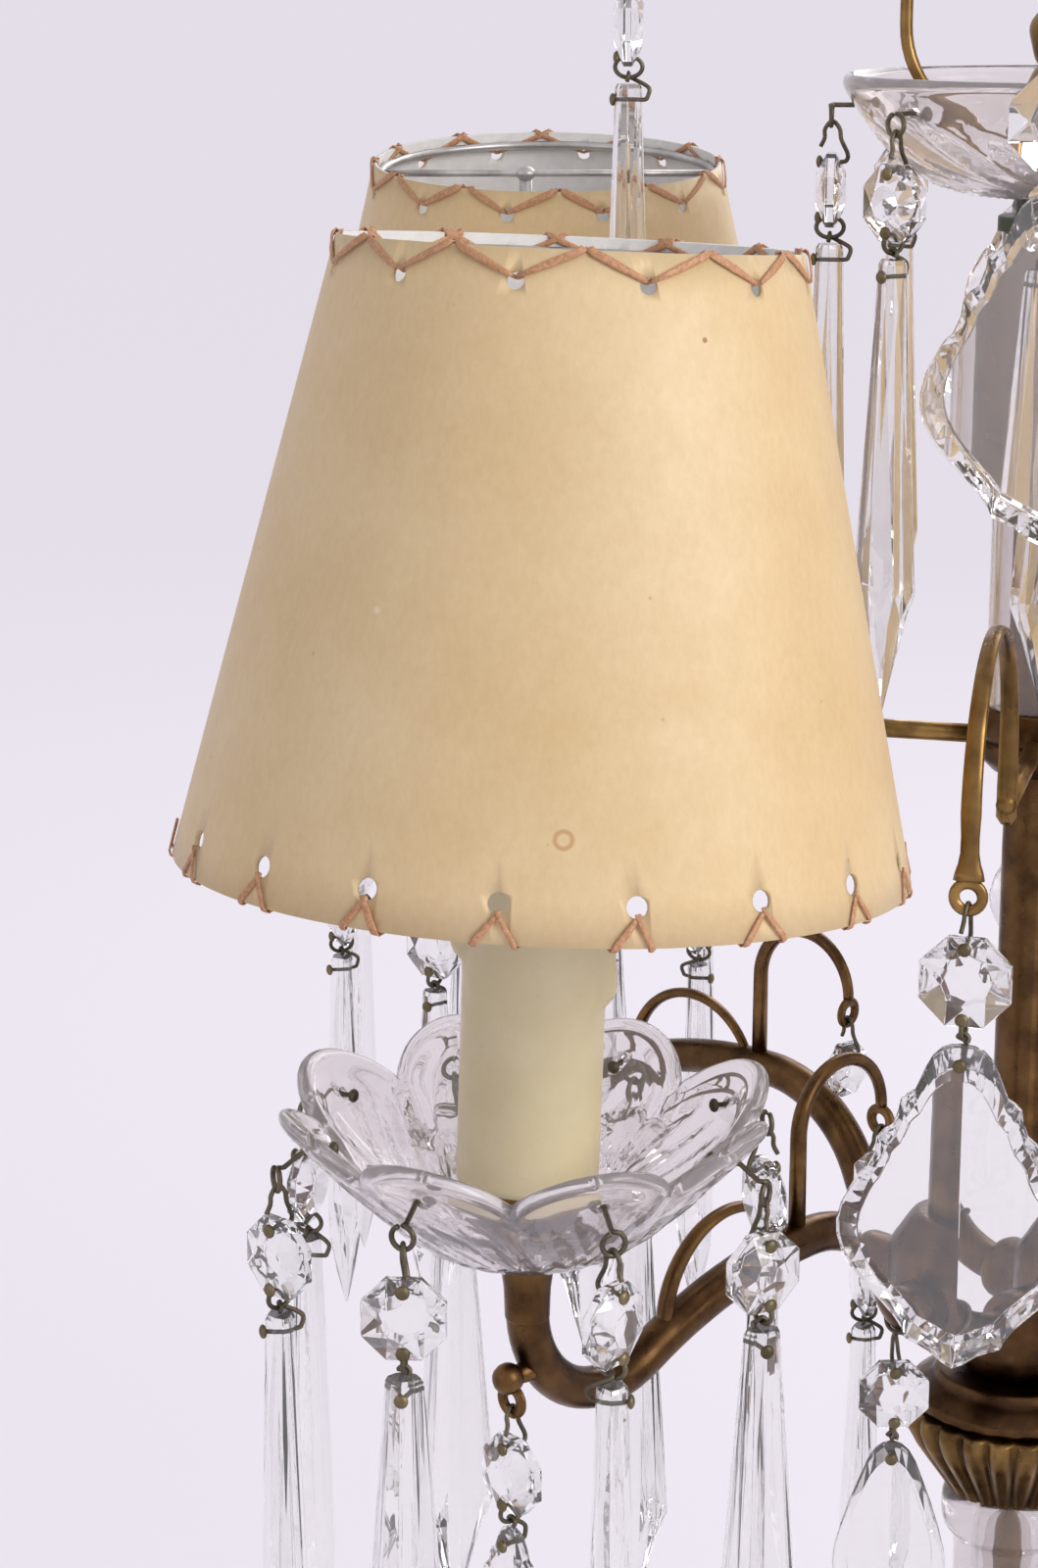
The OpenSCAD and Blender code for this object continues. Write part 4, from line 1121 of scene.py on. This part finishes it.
def lower_links(form, bead_at, low_at, x, high, low, deep):
    """A small ring through the bead's lower hole, and the twisted hook that carries the pendant."""
    ring = [(x + 2.8 * cos(a), 0, high - 1.9 + 2.1 * sin(a)) for a in around(24)]
    form.add(tube(ring, WIRE_R, 8, True), bead_at)
    form.add(pin_head(x + 2.5, high), bead_at, 1)
    hang = high - 4.0 + 0.95
    path = [(x + deep, 0, low), (x, 0, low), (x - deep, 0, low), (x - deep - 0.7, 0, low + 0.6),
            (x - deep - 0.9, -0.3, low + 2.4), (x - 1.3, -0.9, hang - 1.4), (x, -0.95, hang - 0.7),
            (x, 0, hang), (x, 0.95, hang - 0.8), (x + 0.3, 0.8, hang - 1.7)]
    form.add(tube(bent(path), WIRE_R, 8), low_at)
    form.add(pin_head(x + deep, low), low_at, 1)


def drop_parts(glass_form, wire_form, at, x, z, d, pendant, thick, twist=(0, 0)):
    """A bead and a pendant under an eye at x, z, each twisted a little, with the wires that hold them."""
    stray = rng.uniform(-9, 9)
    bead_at, low_at = (at @ moved(x, 0, z) @ turned(turn + stray) @ moved(-x, 0, -z) for turn in twist)
    glass_form.add(octagon(d), bead_at @ moved(x, 0, z + bead_z(d)), 0, False)
    glass_form.add(pendant, low_at @ moved(x, 0, z + pendant_z(d)), 0, False)
    hanger(wire_form, bead_at, x, z, d, rng.choice((-1, 1)))
    high, low = z + bead_z(d) - bead_hole(d), z + pendant_z(d)
    lower_links(wire_form, bead_at, low_at, x, high, low, thick / 2 + 0.4)


def wall_pin(form, at, hole_r, hole_z, eye_x, z):
    """Pin through a glass wall: head inside, and an eye bent outside."""
    head_x, steps = hole_r - 3.2, 20
    form.add(pin_head(head_x, hole_z, 0.7), at)
    path = [(head_x, 0, hole_z), (hole_r + 2.5, 0, hole_z), (eye_x - 1.2, 0, z)]
    for s in range(steps + 1):
        a = radians(90 - 340 * s / steps)
        path.append((eye_x + 0.4 * s / steps, EYE_R * cos(a), z - EYE_R + EYE_R * sin(a)))
    form.add(tube(path, 0.5, 8), at)


def inner_drop(form, wires, n):
    """Drop on a wire loop round the branch near the hub: an almond on odd branches, a prism on even ones."""
    path = branch_path()
    i = min(range(len(path) - 1), key=lambda k: abs(path[k][0] - INNER_R))
    x, _, z = path[i]
    tilt = atan2(path[i + 1][2] - path[i - 1][2], path[i + 1][0] - path[i - 1][0])
    loop_r = TUBE_R + 0.5
    loop = []
    for a in around(32):
        up = loop_r * sin(a)
        loop.append((x - up * sin(tilt), loop_r * cos(a), z + up * cos(tilt)))
    wires.add(tube(loop, WIRE_R, 8, True), branch(n))
    x += loop_r * sin(tilt)
    z -= loop_r * cos(tilt) - EYE_SAG
    if n % 2:
        pendant, thick = pendalogue(*INNER_ALMOND, ALMOND), SMALL_DROP_T
    else:
        pendant, thick = spear(INNER_PRISM_L), SPEAR_T
    drop_parts(form, wires, branch(n), x, z, BEAD_D, pendant, thick, (45, 35))


# Turns of the bead and the prism, in degrees, for some of the drops by branch and petal

TWISTS = {(1, 7): (22, -10), (1, 0): (28, 22), (1, 1): (28, 62), (1, 2): (-28, -45)}


def branch_curtain(wires, n):
    """A drop on each petal, a bead on the scroll loop and the drop near the hub."""
    form = Form()
    for k in range(PETALS):
        at = petal(n, k)
        wall_pin(wires, at, PIN_HOLE_R, bowl_curve(PIN_HOLE_R), PIN_EYE_X, PIN_Z)
        drop_parts(form, wires, at, PIN_EYE_X, PIN_Z - EYE_R, BEAD_D, spear(PRISM_L), SPEAR_T,
                   TWISTS.get((n, k), (0, 0)))
    x, z = LOOP_EYE
    form.add(octagon(SCROLL_BEAD_D), branch(n) @ moved(x, 0, z + bead_z(SCROLL_BEAD_D)), 0, False)
    hanger(wires, branch(n), x, z, SCROLL_BEAD_D, 1)
    inner_drop(form, wires, n)
    form.piece(f"curtain_{n}", [CUT_GLASS], "clear_glass", [f"branch_drops_{n}"], bevel=GLASS_EDGE)


def hanging_drops(pin_z):
    """The drops that hang still on the branches and the dish, and all their wires as one piece."""
    wires = Form()
    for n in ARMS:
        branch_curtain(wires, n)
    form = Form()
    for k in range(DISH_DROPS):
        wall_pin(wires, dish(k), DISH_HOLE_R, pin_z, DISH_EYE_X, pin_z)
        drop_parts(form, wires, dish(k), DISH_EYE_X, pin_z - EYE_R, BEAD_D, spear(PRISM_L), SPEAR_T)
    form.piece("dish_curtain", [CUT_GLASS], "clear_glass", ["dish_drops"], bevel=GLASS_EDGE)
    wires.piece("hanging_wires", [WIRE, PIN], "wire", ["drop_wires"])


def swinging(node, body, at, x, z, d, pendant, thick):
    """A drop that rides on its own body."""
    glass_form, wire_form = Form(), Form()
    drop_parts(glass_form, wire_form, at, x, z, d, pendant, thick)
    glass_form.piece(f"{node}_glass", [CUT_GLASS], "clear_glass", [node], body, GLASS_EDGE)
    wire_form.piece(f"{node}_wire", [WIRE, PIN], "wire", body=body)


def swinging_drops():
    for n in ARMS:
        swinging(f"stud_drop_{n}", f"stud_pendant_{n}", branch(n), *STUD_EYE, BEAD_D,
                 pendalogue(*STUD_PENDALOGUE), SMALL_DROP_T)
    for n in range(1, HOOKS + 1):
        swinging(f"hook_drop_{n}", f"hook_pendant_{n}", hook(n), HOOK_R, HOOK_EYE_Z, BIG_BEAD_D,
                 pendalogue(*PENDALOGUE), PENDALOGUE_T)
    for n in range(1, CROWNS + 1):
        pendant, thick = spear(CROWN_PRISM_L), SPEAR_T
        if n % 2:
            pendant, thick = pendalogue(*PENDALOGUE), PENDALOGUE_T
        swinging(f"crown_drop_{n}", f"crown_pendant_{n}", crown(n), CROWN_R, CROWN_EYE_Z[n % 2], BIG_BEAD_D,
                 pendant, thick)


# Camera, background, floor and lamps, in metres

LENS = 76.5
SENSOR = 36.0
CAMERA_AT = (-0.109, -0.678, 0.49)
CAMERA_DOWN = 14.4
BACKGROUND = (0.835, 0.795, 0.875)
ROOM = (0.52, 0.5, 0.52)
FLOOR_COLOUR = (0.8, 0.765, 0.84)
FLOOR_GLOW = (0.935, 0.885, 0.975)
FLOOR_SHARE = 0.68
FLOOR_R = 60.0
FLOOR_Z = -0.0002
LAMP_AIM = (0, 0, 0.33)

# Lamps: place, size, watts, colour

LAMPS = {
    "key": ((1.15, -0.95, 1.0), 0.9, 16.0, (1.0, 0.97, 0.94)),
    "fill": ((-1.3, -0.8, 0.8), 1.0, 1.6, (0.97, 0.97, 1.0)),
    "rim": ((0.5, 1.1, 1.1), 0.8, 7.0, (1.0, 0.98, 0.97)),
}


def seen_rays(tree):
    """1 for the rays that look, reflect or pass through glass, 0 for the rays that only light."""
    rays = new_node(tree, "LightPath", 0).node.outputs
    seen = rays["Is Camera Ray"]
    for kind in ("Is Glossy Ray", "Is Transmission Ray"):
        seen = new_node(tree, "Math", 0, seen, rays[kind], how="MAXIMUM")
    return seen


def camera():
    data = bpy.data.cameras.new("camera")
    data.lens = LENS
    data.sensor_width = SENSOR
    data.clip_start = 0.01
    obj = linked("camera", data)
    obj.location = CAMERA_AT
    obj.rotation_euler = (radians(90 - CAMERA_DOWN), 0, 0)
    bpy.context.scene.camera = obj
    bpy.context.scene.view_settings.view_transform = "Standard"


def background():
    """Pale for the rays that look, and a dimmer room for the rays that light."""
    world = bpy.data.worlds.new("studio")
    bpy.context.scene.world = world
    world.use_nodes = True
    tree = world.node_tree
    colour = new_node(tree, "MixRGB", "Color", seen_rays(tree), rgba(ROOM), rgba(BACKGROUND))
    tree.links.new(colour, tree.nodes["Background"].inputs["Color"])


def ground():
    """Round floor that takes shadows, and glows for the rays that look, so that it stays pale."""
    sides = 64
    mesh = bpy.data.meshes.new("floor")
    mesh.from_pydata(circle(FLOOR_R, FLOOR_Z, sides), [], [tuple(range(sides))])
    floor = linked("floor", mesh)
    look = Look("floor", Base_Color=rgba(FLOOR_COLOUR), Roughness=0.9, Specular_IOR_Level=0.1)
    glow = look.node("Emission", 0, Color=rgba(FLOOR_GLOW))
    share = look.node("Math", 0, seen_rays(look.tree), FLOOR_SHARE, how="MULTIPLY")
    both = look.node("MixShader", 0, share, look.shader.outputs[0], glow)
    look.tree.links.new(both, look.tree.nodes["Material Output"].inputs["Surface"])
    mesh.materials.append(look.mat)


def lamps():
    for name, (at, size, power, colour) in LAMPS.items():
        data = bpy.data.lights.new(name, "AREA")
        data.size = size
        data.energy = power
        data.color = colour
        lamp = linked(name, data)
        lamp.location = at
        aim = Vector(LAMP_AIM) - Vector(at)
        lamp.rotation_euler = aim.to_track_quat("-Z", "Y").to_euler()


def dress(node, look):
    """A CAD node that keeps its shape gets a better material."""
    obj = nodes[node]
    obj.data.materials.clear()
    obj.data.materials.append(look)


camera()
background()
ground()
lamps()
lower_column()
hub()
upper_column()
dish_pin_z = upper_dish()
crown_wires()
swan_hooks()
for n in ARMS:
    one_branch(n)
candle_fittings()
for n in ARMS:
    candle_sleeve(n)
    bobeche(n)
    shade(n)
hanging_drops(dish_pin_z)
swinging_drops()
dress("felt_ring", FELT)
dress("foot_nut", GOLD)
dress("centre_rod", GOLD)
dress("lampholders", BAKELITE)
